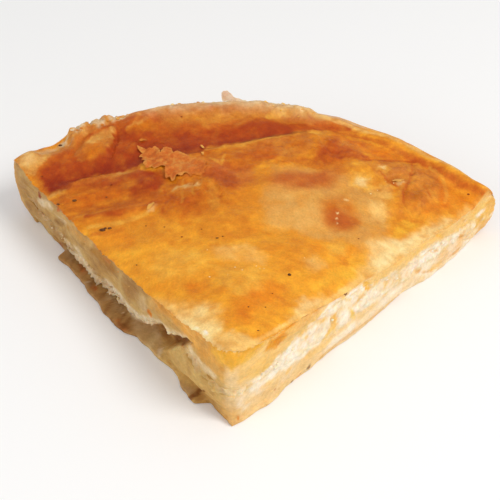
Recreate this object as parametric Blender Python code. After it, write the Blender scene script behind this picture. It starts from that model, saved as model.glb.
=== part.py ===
"""Cheese burek: a hand-cut portion of a round, pan-baked burek.

The portion is a wedge of a disc with three layers that run through it: a stack of pastry sheets
with a crisp crust on top, a band of crumbly cheese, and a second stack of sheets on a browned base.

Each layer is modelled first in a plain box of grid coordinates (u, v, level): u and v run from the
tip of the wedge to its rim, and level counts the rings up the layer's side. One function then lays
every vertex onto the wedge. Sizes and places are in millimetres, measured from the tip of the
wedge on its base, with +Y towards the rim, and become metres as the vertices are placed.
"""
import math

import bmesh
import bpy
from mathutils import Matrix, Vector

MM = 0.001

# The wedge: a 304 mm pan cut into uneven quarters.
RADIUS = 152.0
HALF_ANGLE = math.radians(40.0)
TIP_PLACE = Vector((-0.6, -77.1, 0.0))

# Heights of the top above the base, and how far each line from tip to rim sags half way.
TIP_HEIGHT = 34.7
LEFT_CORNER_HEIGHT = 27.0
RIGHT_CORNER_HEIGHT = 19.4
RIM_MIDDLE_HEIGHT = 37.5
LEFT_SAG = 6.6
RIGHT_SAG = 3.75
MIDDLE_SAG = 3.0

# Grid cells from tip to rim. Boundaries and the top have two cells for each of these.
CELLS = 20
CHEESE_CELLS = CELLS - 1

# Clearance between the layers, half of it on each side of the surface that they share.
LAYER_GAP = 0.5

# Share of the height at which the cheese starts and ends, at points from tip (0) to rim (1).
CHEESE_FLOOR_LEFT = (
    (0.00, 0.37), (0.10, 0.39), (0.19, 0.42), (0.28, 0.27),
    (0.42, 0.20), (0.62, 0.18), (0.80, 0.27), (1.00, 0.42),
)
CHEESE_FLOOR_RIGHT = ((0.00, 0.37), (0.14, 0.40), (0.24, 0.34), (0.60, 0.37), (1.00, 0.42))
CHEESE_ROOF_LEFT = (
    (0.00, 0.48), (0.09, 0.48), (0.17, 0.59), (0.27, 0.58),
    (0.38, 0.38), (0.62, 0.35), (0.80, 0.43), (1.00, 0.54),
)
CHEESE_ROOF_RIGHT = ((0.00, 0.48), (0.14, 0.53), (0.25, 0.80), (0.38, 0.86), (0.62, 0.76), (1.00, 0.58))

# Rings up each layer's side: share of the layer's height, how far the ring stands out of the left
# cut, of the right cut and of the rim, and the depth of its ripples.
UPPER_RINGS = (
    (0.00, 0.0, 0.0, 1.6, 0.0),
    (0.16, -0.8, 0.9, 2.2, 0.7),
    (0.40, -1.7, -0.5, 2.3, 0.8),
    (0.64, -0.5, 0.6, 1.7, 0.8),
    (0.86, -1.6, -1.3, 0.6, 0.5),
    (1.00, 0.9, 0.6, -0.6, 0.7),
)
CHEESE_RINGS = (
    (0.00, 0.0, 0.0, 0.0, 0.0),
    (0.32, -1.6, 0.7, 0.0, 0.9),
    (0.70, -1.2, 0.9, 0.0, 0.9),
    (1.00, 0.0, 0.0, 0.0, 0.0),
)
LOWER_RINGS = (
    (0.00, 0.2, -0.2, -6.0, 0.2),
    (0.16, 0.5, 0.1, -2.6, 0.3),
    (0.30, -2.6, -1.0, -0.8, 0.5),
    (0.62, -0.8, 0.5, 0.8, 0.7),
    (1.00, 0.0, 0.0, 1.6, 0.0),
)
SIDE_BLEND = 7.0

# The shared surfaces are drawn in at the left cut, most of all round the hollow beside the cheese.
LEFT_DRAWN_IN = 1.6
HOLLOW_ALONG = 39.0
HOLLOW_LENGTH = 12.0
HOLLOW_DEPTH = 8.0
HOLLOW_BLEND = 15.0

# Flaps and undercuts of the base sheet, and folds above it, by their distance from the tip:
# where, half length, how far out.
LEFT_BASE_FLAPS = (
    (21.0, 8.0, 4.2), (48.0, 12.0, 2.0), (69.0, 10.0, 5.2), (92.0, 15.0, 4.6), (117.0, 4.0, 3.6),
)
LEFT_BASE_UNDERCUTS = ((7.0, 5.0, -1.4), (132.0, 10.0, -3.0))
RIGHT_BASE_FLAPS = ((19.0, 7.0, 1.8), (96.0, 12.0, -1.6), (112.0, 9.0, 1.2), (146.0, 10.0, -2.2))
LOWER_HOLLOW = (25.0, 8.0, -3.4)
DOUGH_FOLD = (34.0, 13.0, 2.6)
CORNER_UNDERCUT = -3.0
CORNER_REACH = math.radians(9.0)

# Relief of the top: centre x, centre y, half length, half width, turn in degrees, height.
TOP_SWELLS = (
    (-64.0, 120.0, 10.0, 8.0, 10.0, 2.2),
    (-66.0, 136.0, 18.0, 7.0, 22.0, 2.4),
    (-54.0, 82.0, 20.0, 3.5, 8.0, 1.6),
    (-70.0, 100.0, 14.0, 3.5, 6.0, 1.5),
    (-28.0, 93.0, 24.0, 6.0, -12.0, 1.0),
    (47.0, 114.0, 9.0, 7.0, 30.0, 1.6),
    (62.0, 103.0, 8.0, 6.0, -20.0, 1.5),
    (74.0, 112.0, 9.0, 4.5, 70.0, 1.1),
    (20.0, 92.0, 26.0, 17.0, -10.0, 1.3),
    (30.0, 58.0, 20.0, 10.0, 35.0, 0.8),
    (-28.0, 52.0, 22.0, 11.0, -35.0, 0.8),
)
TOP_HOLLOWS = (
    (-58.0, 108.0, 26.0, 6.5, 22.0, -1.6),
    (-25.0, 127.0, 34.0, 7.5, 4.0, -1.9),
    (5.0, 68.0, 30.0, 8.0, 5.0, -0.9),
    (50.0, 88.0, 16.0, 6.0, 20.0, -1.0),
)

# The torn sheet of crust that lies loose on the top: a raised plate with steep edges.
TORN_SHEET = (-27.0, 106.5, 25.0, 8.5, -33.0, 2.4)

# The rim's bead, and the groove inside it that opens out to the left.
BEAD_RADIUS = 147.5
BEAD_WIDTH = 4.5
BEAD_HEIGHT = 1.3
GROOVE_RADIUS = 141.5
GROOVE_WIDTH = 4.5
GROOVE_DEPTH = 1.6
RIM_ROUNDING = 9.0
RIM_DROP = 3.0

# Broad unevenness of the top and of the surfaces between the layers.
TOP_WAVE = 0.55
TOP_WAVE_LENGTH = 30.0
LAYER_WAVE = 0.5
LAYER_WAVE_LENGTH = 48.0

GOLDEN_ANGLE = math.radians(137.5)


def smooth(value):
    value = min(1.0, max(0.0, value))
    return value * value * (3.0 - 2.0 * value)


def bump(value, centre, half_width):
    return math.exp(-((value - centre) / half_width) ** 2)


def read_profile(points, share):
    """The value at a share of the way, by smooth steps between the points of a profile."""
    for (start, low), (end, high) in zip(points, points[1:]):
        if share <= end:
            return low + (high - low) * smooth((share - start) / (end - start))
    return points[-1][1]


def waves(x, y, length, seed):
    """Gentle unevenness between about -1 and 1: four sine waves that cross each other."""
    total = 0.0
    for step in range(4):
        turn = seed + step * GOLDEN_ANGLE
        pace = 2.0 * math.pi / (length * (1.0 - 0.13 * step))
        total += math.sin(pace * (x * math.cos(turn) + y * math.sin(turn)) + 1.7 * seed + 2.3 * step)
    return total / 2.5


def ripple(along, seed):
    """Short ripples along a cut edge, between about -1 and 1."""
    return 0.55 * math.sin(along / 2.9 + seed * 2.1) + 0.45 * math.sin(along / 1.7 + seed * 4.7)


def polar(x, y):
    """Distance from the tip as a share of the radius, and angle as a share from left cut to right."""
    turn = math.atan2(x, y)
    return math.hypot(x, y) / RADIUS, (turn + HALF_ANGLE) / (2.0 * HALF_ANGLE)


def oval(x, y, shape):
    """How far a place lies from the middle of an oval feature, where 1 is its edge."""
    centre_x, centre_y, half_length, half_width, degrees, _ = shape
    turn = math.radians(degrees)
    dx = x - centre_x
    dy = y - centre_y
    along = dx * math.cos(turn) + dy * math.sin(turn)
    across = dy * math.cos(turn) - dx * math.sin(turn)
    return math.hypot(along / half_length, across / half_width)


def dome_height(x, y):
    """The smooth top: three sagging lines from tip to rim, joined by a curve from side to side."""
    share, side = polar(x, y)
    share = min(share, 1.05)
    sag = 4.0 * share * (1.0 - share)
    left = TIP_HEIGHT + (LEFT_CORNER_HEIGHT - TIP_HEIGHT) * share - LEFT_SAG * sag
    right = TIP_HEIGHT + (RIGHT_CORNER_HEIGHT - TIP_HEIGHT) * share - RIGHT_SAG * sag
    middle = TIP_HEIGHT + (RIM_MIDDLE_HEIGHT - TIP_HEIGHT) * share - MIDDLE_SAG * sag
    side = min(1.05, max(-0.05, side))
    return ((1.0 - side) * (1.0 - 2.0 * side) * left
            + 4.0 * side * (1.0 - side) * middle
            + side * (2.0 * side - 1.0) * right)


def top_relief(x, y):
    """Swells, hollows, the torn sheet, the rim's bead and groove, and broad waves."""
    share, side = polar(x, y)
    reach = share * RADIUS
    height = TOP_WAVE * waves(x, y, TOP_WAVE_LENGTH, 1.0) * smooth(reach / 40.0)
    for shape in TOP_SWELLS + TOP_HOLLOWS:
        height += shape[5] * math.exp(-1.6 * oval(x, y, shape) ** 2)
    edge = 1.0 + 0.22 * waves(x, y, 16.0, 5.0)
    height += TORN_SHEET[5] * smooth((edge - oval(x, y, TORN_SHEET)) / 0.32)
    height += BEAD_HEIGHT * bump(reach, BEAD_RADIUS, BEAD_WIDTH)
    height -= GROOVE_DEPTH * bump(reach, GROOVE_RADIUS, GROOVE_WIDTH) * smooth((side - 0.3) / 0.3)
    return height


def rim_rounding(x, y):
    past = math.hypot(x, y) - (RADIUS - RIM_ROUNDING)
    return RIM_DROP * max(0.0, past / RIM_ROUNDING) ** 2


def top_height(x, y):
    return dome_height(x, y) + top_relief(x, y) - rim_rounding(x, y)


def layer_height(x, y, left_points, right_points, seed):
    """Height of the surface between two layers."""
    share, side = polar(x, y)
    weight = smooth(side)
    fraction = ((1.0 - weight) * read_profile(left_points, share)
                + weight * read_profile(right_points, share))
    wave = LAYER_WAVE * waves(x, y, LAYER_WAVE_LENGTH, seed)
    return fraction * dome_height(x, y) + wave


def cheese_floor(x, y):
    return layer_height(x, y, CHEESE_FLOOR_LEFT, CHEESE_FLOOR_RIGHT, 2.0)


def cheese_roof(x, y):
    return layer_height(x, y, CHEESE_ROOF_LEFT, CHEESE_ROOF_RIGHT, 3.0)


def wedge_place(u, v):
    """Lays the unit square onto the wedge: u = 0 is the left cut, v = 0 the right cut."""
    x = u * math.sqrt(1.0 - v * v / 2.0)
    y = v * math.sqrt(1.0 - u * u / 2.0)
    turn = (math.atan2(x, y) / (math.pi / 2.0) * 2.0 - 1.0) * HALF_ANGLE
    reach = math.hypot(x, y) * RADIUS
    return reach * math.sin(turn), reach * math.cos(turn)


def pushed(x, y, left_out, right_out, rim_out, blend):
    """Moves a place out of the wedge's sides, by less the further inside it lies."""
    sine = math.sin(HALF_ANGLE)
    cosine = math.cos(HALF_ANGLE)
    left_depth = x * cosine + y * sine
    right_depth = y * sine - x * cosine
    reach = math.hypot(x, y)
    left = left_out * bump(left_depth, 0.0, blend)
    right = right_out * bump(right_depth, 0.0, blend)
    rim = rim_out * bump(RADIUS - reach, 0.0, blend) / max(reach, 1.0)
    return (x - left * cosine + right * cosine + rim * x,
            y - left * sine - right * sine + rim * y)


def shared_push(x, y):
    """Draws the surfaces beside the cheese in at the left cut, and deepest at the hollow."""
    along = math.hypot(x, y)
    hollow = HOLLOW_DEPTH * bump(along, HOLLOW_ALONG, HOLLOW_LENGTH)
    _, side = polar(x, y)
    plain = LEFT_DRAWN_IN * smooth((along - 8.0) / 20.0) * (1.0 - smooth((along - 125.0) / 20.0))
    rim_out = UPPER_RINGS[0][3]
    return pushed(x, y, -(plain + hollow) * (1.0 - smooth(side * 3.0)), 0.0, rim_out, HOLLOW_BLEND)


def ring_push(x, y, ring, seed):
    """How far a ring stands out of the left cut, the right cut and the rim at one place."""
    _, left_out, right_out, rim_out, depth = ring
    along = math.hypot(x, y)
    left_out += depth * ripple(along, seed)
    right_out += depth * ripple(along, seed + 3.0)
    rim_out += 0.5 * depth * ripple(math.atan2(x, y) * RADIUS, seed + 6.0)
    return left_out, right_out, rim_out


def corner_weight(x, y):
    """1 at the left corner of the rim, and 0 further along it."""
    return 1.0 - smooth((math.atan2(x, y) + HALF_ANGLE) / CORNER_REACH)


def upper_point(u, v, level):
    x, y = wedge_place(u, v)
    last = len(UPPER_RINGS) - 1
    if level == 0:
        x, y = shared_push(x, y)
        seam = smooth(max(u, v) * CELLS - CHEESE_CELLS)
        roof = cheese_roof(x, y) + LAYER_GAP / 2.0
        floor = cheese_floor(x, y) + LAYER_GAP / 2.0
        return x, y, roof + (floor - roof) * seam
    ring = UPPER_RINGS[level]
    left_out, right_out, rim_out = ring_push(x, y, ring, level)
    moved_x, moved_y = pushed(x, y, left_out, right_out, rim_out, SIDE_BLEND)
    if level == last:
        return moved_x, moved_y, top_height(moved_x, moved_y)
    rim_share = smooth((math.hypot(x, y) - RADIUS * 0.93) / (RADIUS * 0.06))
    bottom = cheese_roof(x, y) + (cheese_floor(x, y) - cheese_roof(x, y)) * rim_share + LAYER_GAP / 2.0
    return moved_x, moved_y, bottom + ring[0] * (top_height(x, y) - bottom)


def cheese_point(u, v, level):
    x, y = wedge_place(u, v)
    x, y = shared_push(x, y)
    floor = cheese_floor(x, y) + LAYER_GAP / 2.0
    roof = cheese_roof(x, y) - LAYER_GAP / 2.0
    ring = CHEESE_RINGS[level]
    z = floor + ring[0] * (roof - floor)
    left_out, right_out, rim_out = ring_push(x, y, ring, 10 + level)
    x, y = pushed(x, y, left_out, right_out, rim_out, SIDE_BLEND)
    return x, y, z


def lower_point(u, v, level):
    x, y = wedge_place(u, v)
    last = len(LOWER_RINGS) - 1
    if level == last:
        x, y = shared_push(x, y)
        return x, y, cheese_floor(x, y) - LAYER_GAP / 2.0
    ring = LOWER_RINGS[level]
    left_out, right_out, rim_out = ring_push(x, y, ring, 20 + level)
    along = math.hypot(x, y)
    if level <= 1:
        for centre, half_length, out in LEFT_BASE_FLAPS + LEFT_BASE_UNDERCUTS:
            left_out += out * bump(along, centre, half_length)
        for centre, half_length, out in RIGHT_BASE_FLAPS:
            right_out += out * bump(along, centre, half_length)
    if level == 2:
        left_out += LOWER_HOLLOW[2] * bump(along, LOWER_HOLLOW[0], LOWER_HOLLOW[1])
    if level == 3:
        left_out += DOUGH_FOLD[2] * bump(along, DOUGH_FOLD[0], DOUGH_FOLD[1])
    rim_out += CORNER_UNDERCUT * corner_weight(x, y) * (1.0 - ring[0]) ** 2
    moved_x, moved_y = pushed(x, y, left_out, right_out, rim_out, SIDE_BLEND)
    top = cheese_floor(x, y) - LAYER_GAP / 2.0
    return moved_x, moved_y, ring[0] * top


def add_patch(mesh, cells, level):
    """A square patch of the grid, its outer edges halved so that they match the fine top."""
    size = cells / CELLS
    frame = Matrix.Translation((size / 2.0, size / 2.0, level))
    made = bmesh.ops.create_grid(mesh, x_segments=cells, y_segments=cells, size=size / 2.0, matrix=frame)
    corners = set(made["verts"])
    outline = [edge for edge in mesh.edges if edge.is_boundary and set(edge.verts) <= corners]
    bmesh.ops.subdivide_edges(mesh, edges=outline, cuts=1)


def add_fine_patch(mesh, level):
    frame = Matrix.Translation((0.5, 0.5, level))
    bmesh.ops.create_grid(mesh, x_segments=2 * CELLS, y_segments=2 * CELLS, size=0.5, matrix=frame)


def add_side_rings(mesh, levels):
    """Extrudes the patch's outline from level to level, and returns the last ring's edges."""
    edges = [edge for edge in mesh.edges if edge.is_boundary]
    for level in levels:
        made = bmesh.ops.extrude_edge_only(mesh, edges=edges)["geom"]
        edges = [item for item in made if isinstance(item, bmesh.types.BMEdge) and item.is_boundary]
        for item in made:
            if isinstance(item, bmesh.types.BMVert):
                item.co.z = level
    return edges


def add_layer(name, mesh, point, material, collection):
    """Welds the grid body, lays it onto the wedge, and links it as an object."""
    bmesh.ops.remove_doubles(mesh, verts=mesh.verts, dist=0.0001)
    bmesh.ops.recalc_face_normals(mesh, faces=mesh.faces)
    for vertex in mesh.verts:
        u, v, level = vertex.co
        vertex.co = (Vector(point(u, v, round(level))) + TIP_PLACE) * MM
    curved = [face for face in mesh.faces if len(face.verts) < 2 * CELLS]
    bmesh.ops.triangulate(mesh, faces=curved, quad_method="SHORT_EDGE", ngon_method="BEAUTY")
    data = bpy.data.meshes.new(name)
    mesh.to_mesh(data)
    mesh.free()
    data.materials.append(material)
    data.shade_smooth()
    data.set_sharp_from_angle(angle=math.radians(50.0))
    made = bpy.data.objects.new(name, data)
    collection.objects.link(made)
    return made


def make_material(name, colour, roughness):
    material = bpy.data.materials.new(name)
    material.use_nodes = True
    shader = material.node_tree.nodes["Principled BSDF"]
    shader.inputs["Base Color"].default_value = (*colour, 1.0)
    shader.inputs["Roughness"].default_value = roughness
    shader.inputs["Metallic"].default_value = 0.0
    return material


def make_upper_pastry(collection):
    mesh = bmesh.new()
    last = len(UPPER_RINGS) - 1
    add_patch(mesh, CELLS, 0)
    add_side_rings(mesh, range(1, last + 1))
    add_fine_patch(mesh, last)
    material = make_material("baked_crust", (0.78, 0.38, 0.08), 0.45)
    return add_layer("upper_pastry", mesh, upper_point, material, collection)


def make_cheese_filling(collection):
    mesh = bmesh.new()
    last = len(CHEESE_RINGS) - 1
    add_patch(mesh, CHEESE_CELLS, 0)
    add_side_rings(mesh, range(1, last + 1))
    add_patch(mesh, CHEESE_CELLS, last)
    material = make_material("white_cheese", (0.93, 0.86, 0.70), 0.6)
    return add_layer("cheese_filling", mesh, cheese_point, material, collection)


def make_lower_pastry(collection):
    mesh = bmesh.new()
    last = len(LOWER_RINGS) - 1
    add_patch(mesh, CELLS, last)
    outline = add_side_rings(mesh, range(last - 1, -1, -1))
    bmesh.ops.contextual_create(mesh, geom=outline)
    material = make_material("soft_dough", (0.83, 0.60, 0.30), 0.55)
    return add_layer("lower_pastry", mesh, lower_point, material, collection)


def clear_scene():
    for item in list(bpy.data.objects):
        bpy.data.objects.remove(item, do_unlink=True)


def main():
    clear_scene()
    collection = bpy.data.collections.new("cheese_burek")
    bpy.context.scene.collection.children.link(collection)
    make_lower_pastry(collection)
    make_cheese_filling(collection)
    make_upper_pastry(collection)


main()
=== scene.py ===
"""Looks of the cheese burek: crust, pastry sheets, crumbly cheese, loose flakes and crumbs.

Shapes are worked out in millimetres from the tip of the wedge on its base, with +Y towards the rim,
as the solids are, and turned into metres when a mesh is made.

Where a noise function is called, a whole number from 61 upwards is a seed, which keeps one pattern
apart from another, and a small one after it says how many sizes of bumps are added up.
"""

import math

import bmesh
import bpy
import numpy as np
from mathutils import Matrix, Vector


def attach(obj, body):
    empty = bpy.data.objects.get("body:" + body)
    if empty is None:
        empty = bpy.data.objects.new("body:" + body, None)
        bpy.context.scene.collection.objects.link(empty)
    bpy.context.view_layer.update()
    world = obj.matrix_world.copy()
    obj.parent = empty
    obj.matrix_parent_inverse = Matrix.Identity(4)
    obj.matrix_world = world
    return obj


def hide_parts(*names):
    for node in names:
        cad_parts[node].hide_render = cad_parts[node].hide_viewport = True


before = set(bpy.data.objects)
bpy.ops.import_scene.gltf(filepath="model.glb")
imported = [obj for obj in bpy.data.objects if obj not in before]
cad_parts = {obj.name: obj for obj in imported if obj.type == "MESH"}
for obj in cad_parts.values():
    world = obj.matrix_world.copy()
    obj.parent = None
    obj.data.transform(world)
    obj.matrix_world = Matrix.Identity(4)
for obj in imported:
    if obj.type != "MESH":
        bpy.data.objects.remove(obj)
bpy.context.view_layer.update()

MM = 0.001
TIP_PLACE = np.array((-0.6, -77.1, 0.0))

# The wedge, as the solids have it.
RADIUS = 152.0
HALF_ANGLE = math.radians(40.0)
SINE = math.sin(HALF_ANGLE)
COSINE = math.cos(HALF_ANGLE)
TIP_HEIGHT = 34.7
LEFT_CORNER_HEIGHT = 27.0
RIGHT_CORNER_HEIGHT = 19.4
RIM_MIDDLE_HEIGHT = 37.5
LEFT_SAG = 6.6
RIGHT_SAG = 3.75
MIDDLE_SAG = 3.0

# Share of the height at which the cheese starts and ends, at points from tip (0) to rim (1).
CHEESE_FLOOR_LEFT = (
    (0, 0.37), (0.10, 0.39), (0.19, 0.42), (0.28, 0.27), (0.42, 0.20), (0.62, 0.18), (0.80, 0.27),
    (1, 0.42),
)
CHEESE_FLOOR_RIGHT = ((0, 0.37), (0.14, 0.40), (0.24, 0.34), (0.60, 0.37), (1, 0.42))
CHEESE_ROOF_LEFT = (
    (0, 0.48), (0.09, 0.48), (0.17, 0.59), (0.27, 0.58), (0.38, 0.38), (0.62, 0.35), (0.80, 0.43),
    (1, 0.54),
)
CHEESE_ROOF_RIGHT = ((0, 0.48), (0.14, 0.53), (0.25, 0.80), (0.38, 0.86), (0.62, 0.76), (1, 0.58))
# Where the cheese ends short of the rim, as a share of the radius, and how wide the closing seam is.
CHEESE_REACH = 0.95
SEAM_WIDTH = 0.016

# Broad unevenness of the top and of the surfaces between the layers.
TOP_WAVE = 0.55
TOP_WAVE_LENGTH = 30.0
LAYER_WAVE = 0.5
LAYER_WAVE_LENGTH = 48.0
GOLDEN_ANGLE = math.radians(137.5)

# The rim's bead, and the groove inside it that opens out to the left.
BEAD_RADIUS = 147.5
BEAD_WIDTH = 4.5
BEAD_HEIGHT = 1.3
GROOVE_RADIUS = 141.5
GROOVE_WIDTH = 4.5
GROOVE_DEPTH = 1.6
RIM_ROUNDING = 9.0
RIM_DROP_LEFT = 0.8
RIM_DROP = 3.0

# Fine cells from tip to rim, and how far the coarser rings of a hidden patch lie inside its edge.
CELLS = 256
PATCH_INSETS = (0.012, 0.035, 0.08)
# Faces that meet at more than this are shaded as an edge.
SHARP_ANGLE = math.radians(65.0)

# Colours of the food, by name.
COLOURS = {
    "cream": "f8dc9c", "butter": "f3c06c", "straw": "eeae40", "gold": "ea9a24", "honey": "de8a1e",
    "amber": "d07410", "orange": "e07808", "burnt": "c45e10", "rust": "b04406", "dark_rust": "962e04",
    "tan": "cf7d2a", "salmon": "cc6c2e", "haze": "dfa14c", "clay": "c2601c", "olive": "a86c12",
    "sun": "f0b030", "lemon": "f2c25a", "char": "5a321a", "khaki": "c49c5c", "wheat": "d89a46",
    "corn": "e8ae3a", "curd": "dcc29c", "shade": "aa7c40", "mushroom": "ac8456", "taupe": "c4a070",
    "bark": "a87a42", "umber": "7e4c1c", "white": "f8ead4", "pale": "f0d0a0", "ochre": "e69a24",
    "maize": "eebc64", "flame": "cc6a2a",
}


def linear(name):
    """A named colour as linear red, green and blue."""
    channels = [int(COLOURS[name][start:start + 2], 16) / 255.0 for start in (0, 2, 4)]
    return np.array([((channel + 0.055) / 1.055) ** 2.4 for channel in channels])


def smooth(value):
    value = np.clip(value, 0.0, 1.0)
    return value * value * (3.0 - 2.0 * value)


def rising(value, start, width):
    """0 up to a start, and 1 from a width further on."""
    return smooth((value - start) / width)


def falling(value, end, width):
    """1 up to a width before an end, and 0 from the end on."""
    return smooth((end - value) / width)


def bump(value, centre, half_width):
    return np.exp(-((value - centre) / half_width) ** 2)


def hashed(across, up, seed):
    """A repeatable value from 0 to 1 for each whole-number cell."""
    mixed = (across * 374761393 + up * 668265263 + seed * 1442695041) & 0xFFFFFFFF
    mixed = ((mixed ^ (mixed >> 13)) * 1274126177) & 0xFFFFFFFF
    return ((mixed ^ (mixed >> 16)) & 0xFFFF) / 65535.0


def noise(x, y, seed):
    """Smooth unevenness between -1 and 1, with about one bump to a unit."""
    across = np.floor(x).astype(np.int64)
    up = np.floor(y).astype(np.int64)
    right = smooth(x - across)
    above = smooth(y - up)
    low = hashed(across, up, seed) * (1.0 - right) + hashed(across + 1, up, seed) * right
    high = hashed(across, up + 1, seed) * (1.0 - right) + hashed(across + 1, up + 1, seed) * right
    return 2.0 * (low * (1.0 - above) + high * above) - 1.0


def fractal(x, y, length, seed, octaves=3):
    """Unevenness with bumps of about a length, and finer and lower ones over them."""
    total = 0.0
    for octave in range(octaves):
        pace = 1.93 ** octave / length
        layer = noise(x * pace + 11.3 * octave, y * pace - 7.9 * octave, seed + octave)
        total = total + layer * 0.5 ** octave
    return total / (2.0 - 0.5 ** (octaves - 1))


def pebbles(x, y, size, seed):
    """Rounded lumps packed side by side: 1 on top of a lump and 0 in the clefts between."""
    x = x / size
    y = y / size
    across = np.floor(x).astype(np.int64)
    up = np.floor(y).astype(np.int64)
    nearest = np.full(np.shape(x), 9.0)
    second = np.full(np.shape(x), 9.0)
    for column in (-1, 0, 1):
        for row in (-1, 0, 1):
            centre_x = across + column + hashed(across + column, up + row, seed)
            centre_y = up + row + hashed(across + column, up + row, seed + 77)
            distance = np.hypot(centre_x - x, centre_y - y)
            second = np.minimum(second, np.maximum(nearest, distance))
            nearest = np.minimum(nearest, distance)
    return smooth((second - nearest) * 1.6)


def blotches(x, y, length, seed, octaves, gain, level):
    """1 in blotches and 0 between them: a gain sharpens their edges, and a level makes them larger."""
    return smooth(level + gain * fractal(x, y, length, seed, octaves))


def in_line(unevenness, along, *settings):
    """Unevenness that changes along a line and not across it."""
    return unevenness(along, along * 0.0, *settings)


def waves(x, y, length, seed):
    """The broad unevenness that the solids have: four sine waves that cross each other."""
    total = 0.0
    for step in range(4):
        turn = seed + step * GOLDEN_ANGLE
        pace = 2.0 * math.pi / (length * (1.0 - 0.13 * step))
        total = total + np.sin(pace * (x * math.cos(turn) + y * math.sin(turn)) + 1.7 * seed + 2.3 * step)
    return total / 2.5


def read_profile(points, share):
    """The value at a share, read smoothly between points (share, value)."""
    shares, values = zip(*points)
    value = np.full(np.shape(share), float(values[-1]))
    for index in range(len(points) - 2, -1, -1):
        step = smooth((share - shares[index]) / (shares[index + 1] - shares[index]))
        part = values[index] + (values[index + 1] - values[index]) * step
        value = np.where(share <= shares[index + 1], part, value)
    return value


def oval_distance(x, y, oval):
    """How far a place lies from the middle of an oval, where 1 is its edge."""
    centre_x, centre_y, half_length, half_width, degrees = oval
    turn = math.radians(degrees)
    along = (x - centre_x) * math.cos(turn) + (y - centre_y) * math.sin(turn)
    across = (y - centre_y) * math.cos(turn) - (x - centre_x) * math.sin(turn)
    return np.hypot(along / half_length, across / half_width)


def segment_gap(x, y, start, end):
    """How far a place lies from a straight line, and the share of the line at the nearest point."""
    (x0, y0), (x1, y1) = start, end
    length = (x1 - x0) ** 2 + (y1 - y0) ** 2
    share = np.clip(((x - x0) * (x1 - x0) + (y - y0) * (y1 - y0)) / length, 0.0, 1.0)
    return np.hypot(x - x0 - share * (x1 - x0), y - y0 - share * (y1 - y0)), share


def line_distance(x, y, points):
    """How far a place lies from a line through points (x, y, half width), in half widths."""
    nearest = np.full(np.shape(x), 99.0)
    for (*start, width0), (*end, width1) in zip(points, points[1:]):
        gap, share = segment_gap(x, y, start, end)
        nearest = np.minimum(nearest, gap / (width0 + (width1 - width0) * share))
    return nearest


def inside_distance(x, y, outline):
    """How far inside an outline a place lies, in millimetres, and below zero outside it."""
    nearest = np.full(np.shape(x), 999.0)
    inside = np.zeros(np.shape(x), dtype=bool)
    for (x0, y0), (x1, y1) in zip(outline, outline[1:] + outline[:1]):
        nearest = np.minimum(nearest, segment_gap(x, y, (x0, y0), (x1, y1))[0])
        slope = (x1 - x0) / (y1 - y0) if y1 != y0 else 0.0
        inside ^= ((y0 > y) != (y1 > y)) & (x < x0 + slope * (y - y0))
    return np.where(inside, nearest, -nearest)


# Relief of the top that the solids have: centre x, y, half length, half width, turn, height.
TOP_SWELLS = (
    (-64, 120, 10, 8, 10, 2.2), (-66, 136, 18, 7, 22, 2.4), (-54, 82, 20, 3.5, 8, 1.6),
    (-70, 100, 14, 3.5, 6, 1.5), (-28, 93, 24, 6, -12, 1), (47, 114, 9, 7, 30, 1.6),
    (63, 103, 9, 7, -20, 0.9), (74, 112, 9, 4.5, 70, 0.8), (20, 92, 26, 17, -10, 1.3),
    (30, 58, 20, 10, 35, 0.8), (-28, 52, 22, 11, -35, 0.8), (-58, 108, 26, 6.5, 22, -1.6),
    (-25, 127, 34, 7.5, 4, -1.9), (5, 68, 30, 8, 5, -0.9), (50, 88, 16, 6, 20, -1),
    (-92, 114, 8, 7, 0, 1.6),
)
# Ups and downs of the rim's outline: degrees from the middle, height.
RIM_LIFT = (
    (-40, -1), (-37.5, 0.4), (-36, -2), (-33.5, -4.2), (-31.8, -3.6), (-30.5, 0.6), (-26, 0.5), (-22, -1.6),
    (-19, 0.4), (-15, 1.2), (-10, 0.3), (-7, 0), (-2, 0.6), (0, 1.4), (2, 0.6), (6.5, 2), (8.3, 1.5),
    (10, -1), (18, -1.1), (28, -0.4), (36, 1.2), (40, 3),
)
# The raised form under the torn sheet (centre, half lengths, turn), its height and its edge's slope.
TORN_SHEET = (-27, 106.5, 25, 8.5, -33)
TORN_SHEET_HEIGHT = 1.1
TORN_SHEET_SLOPE = 0.32

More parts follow.
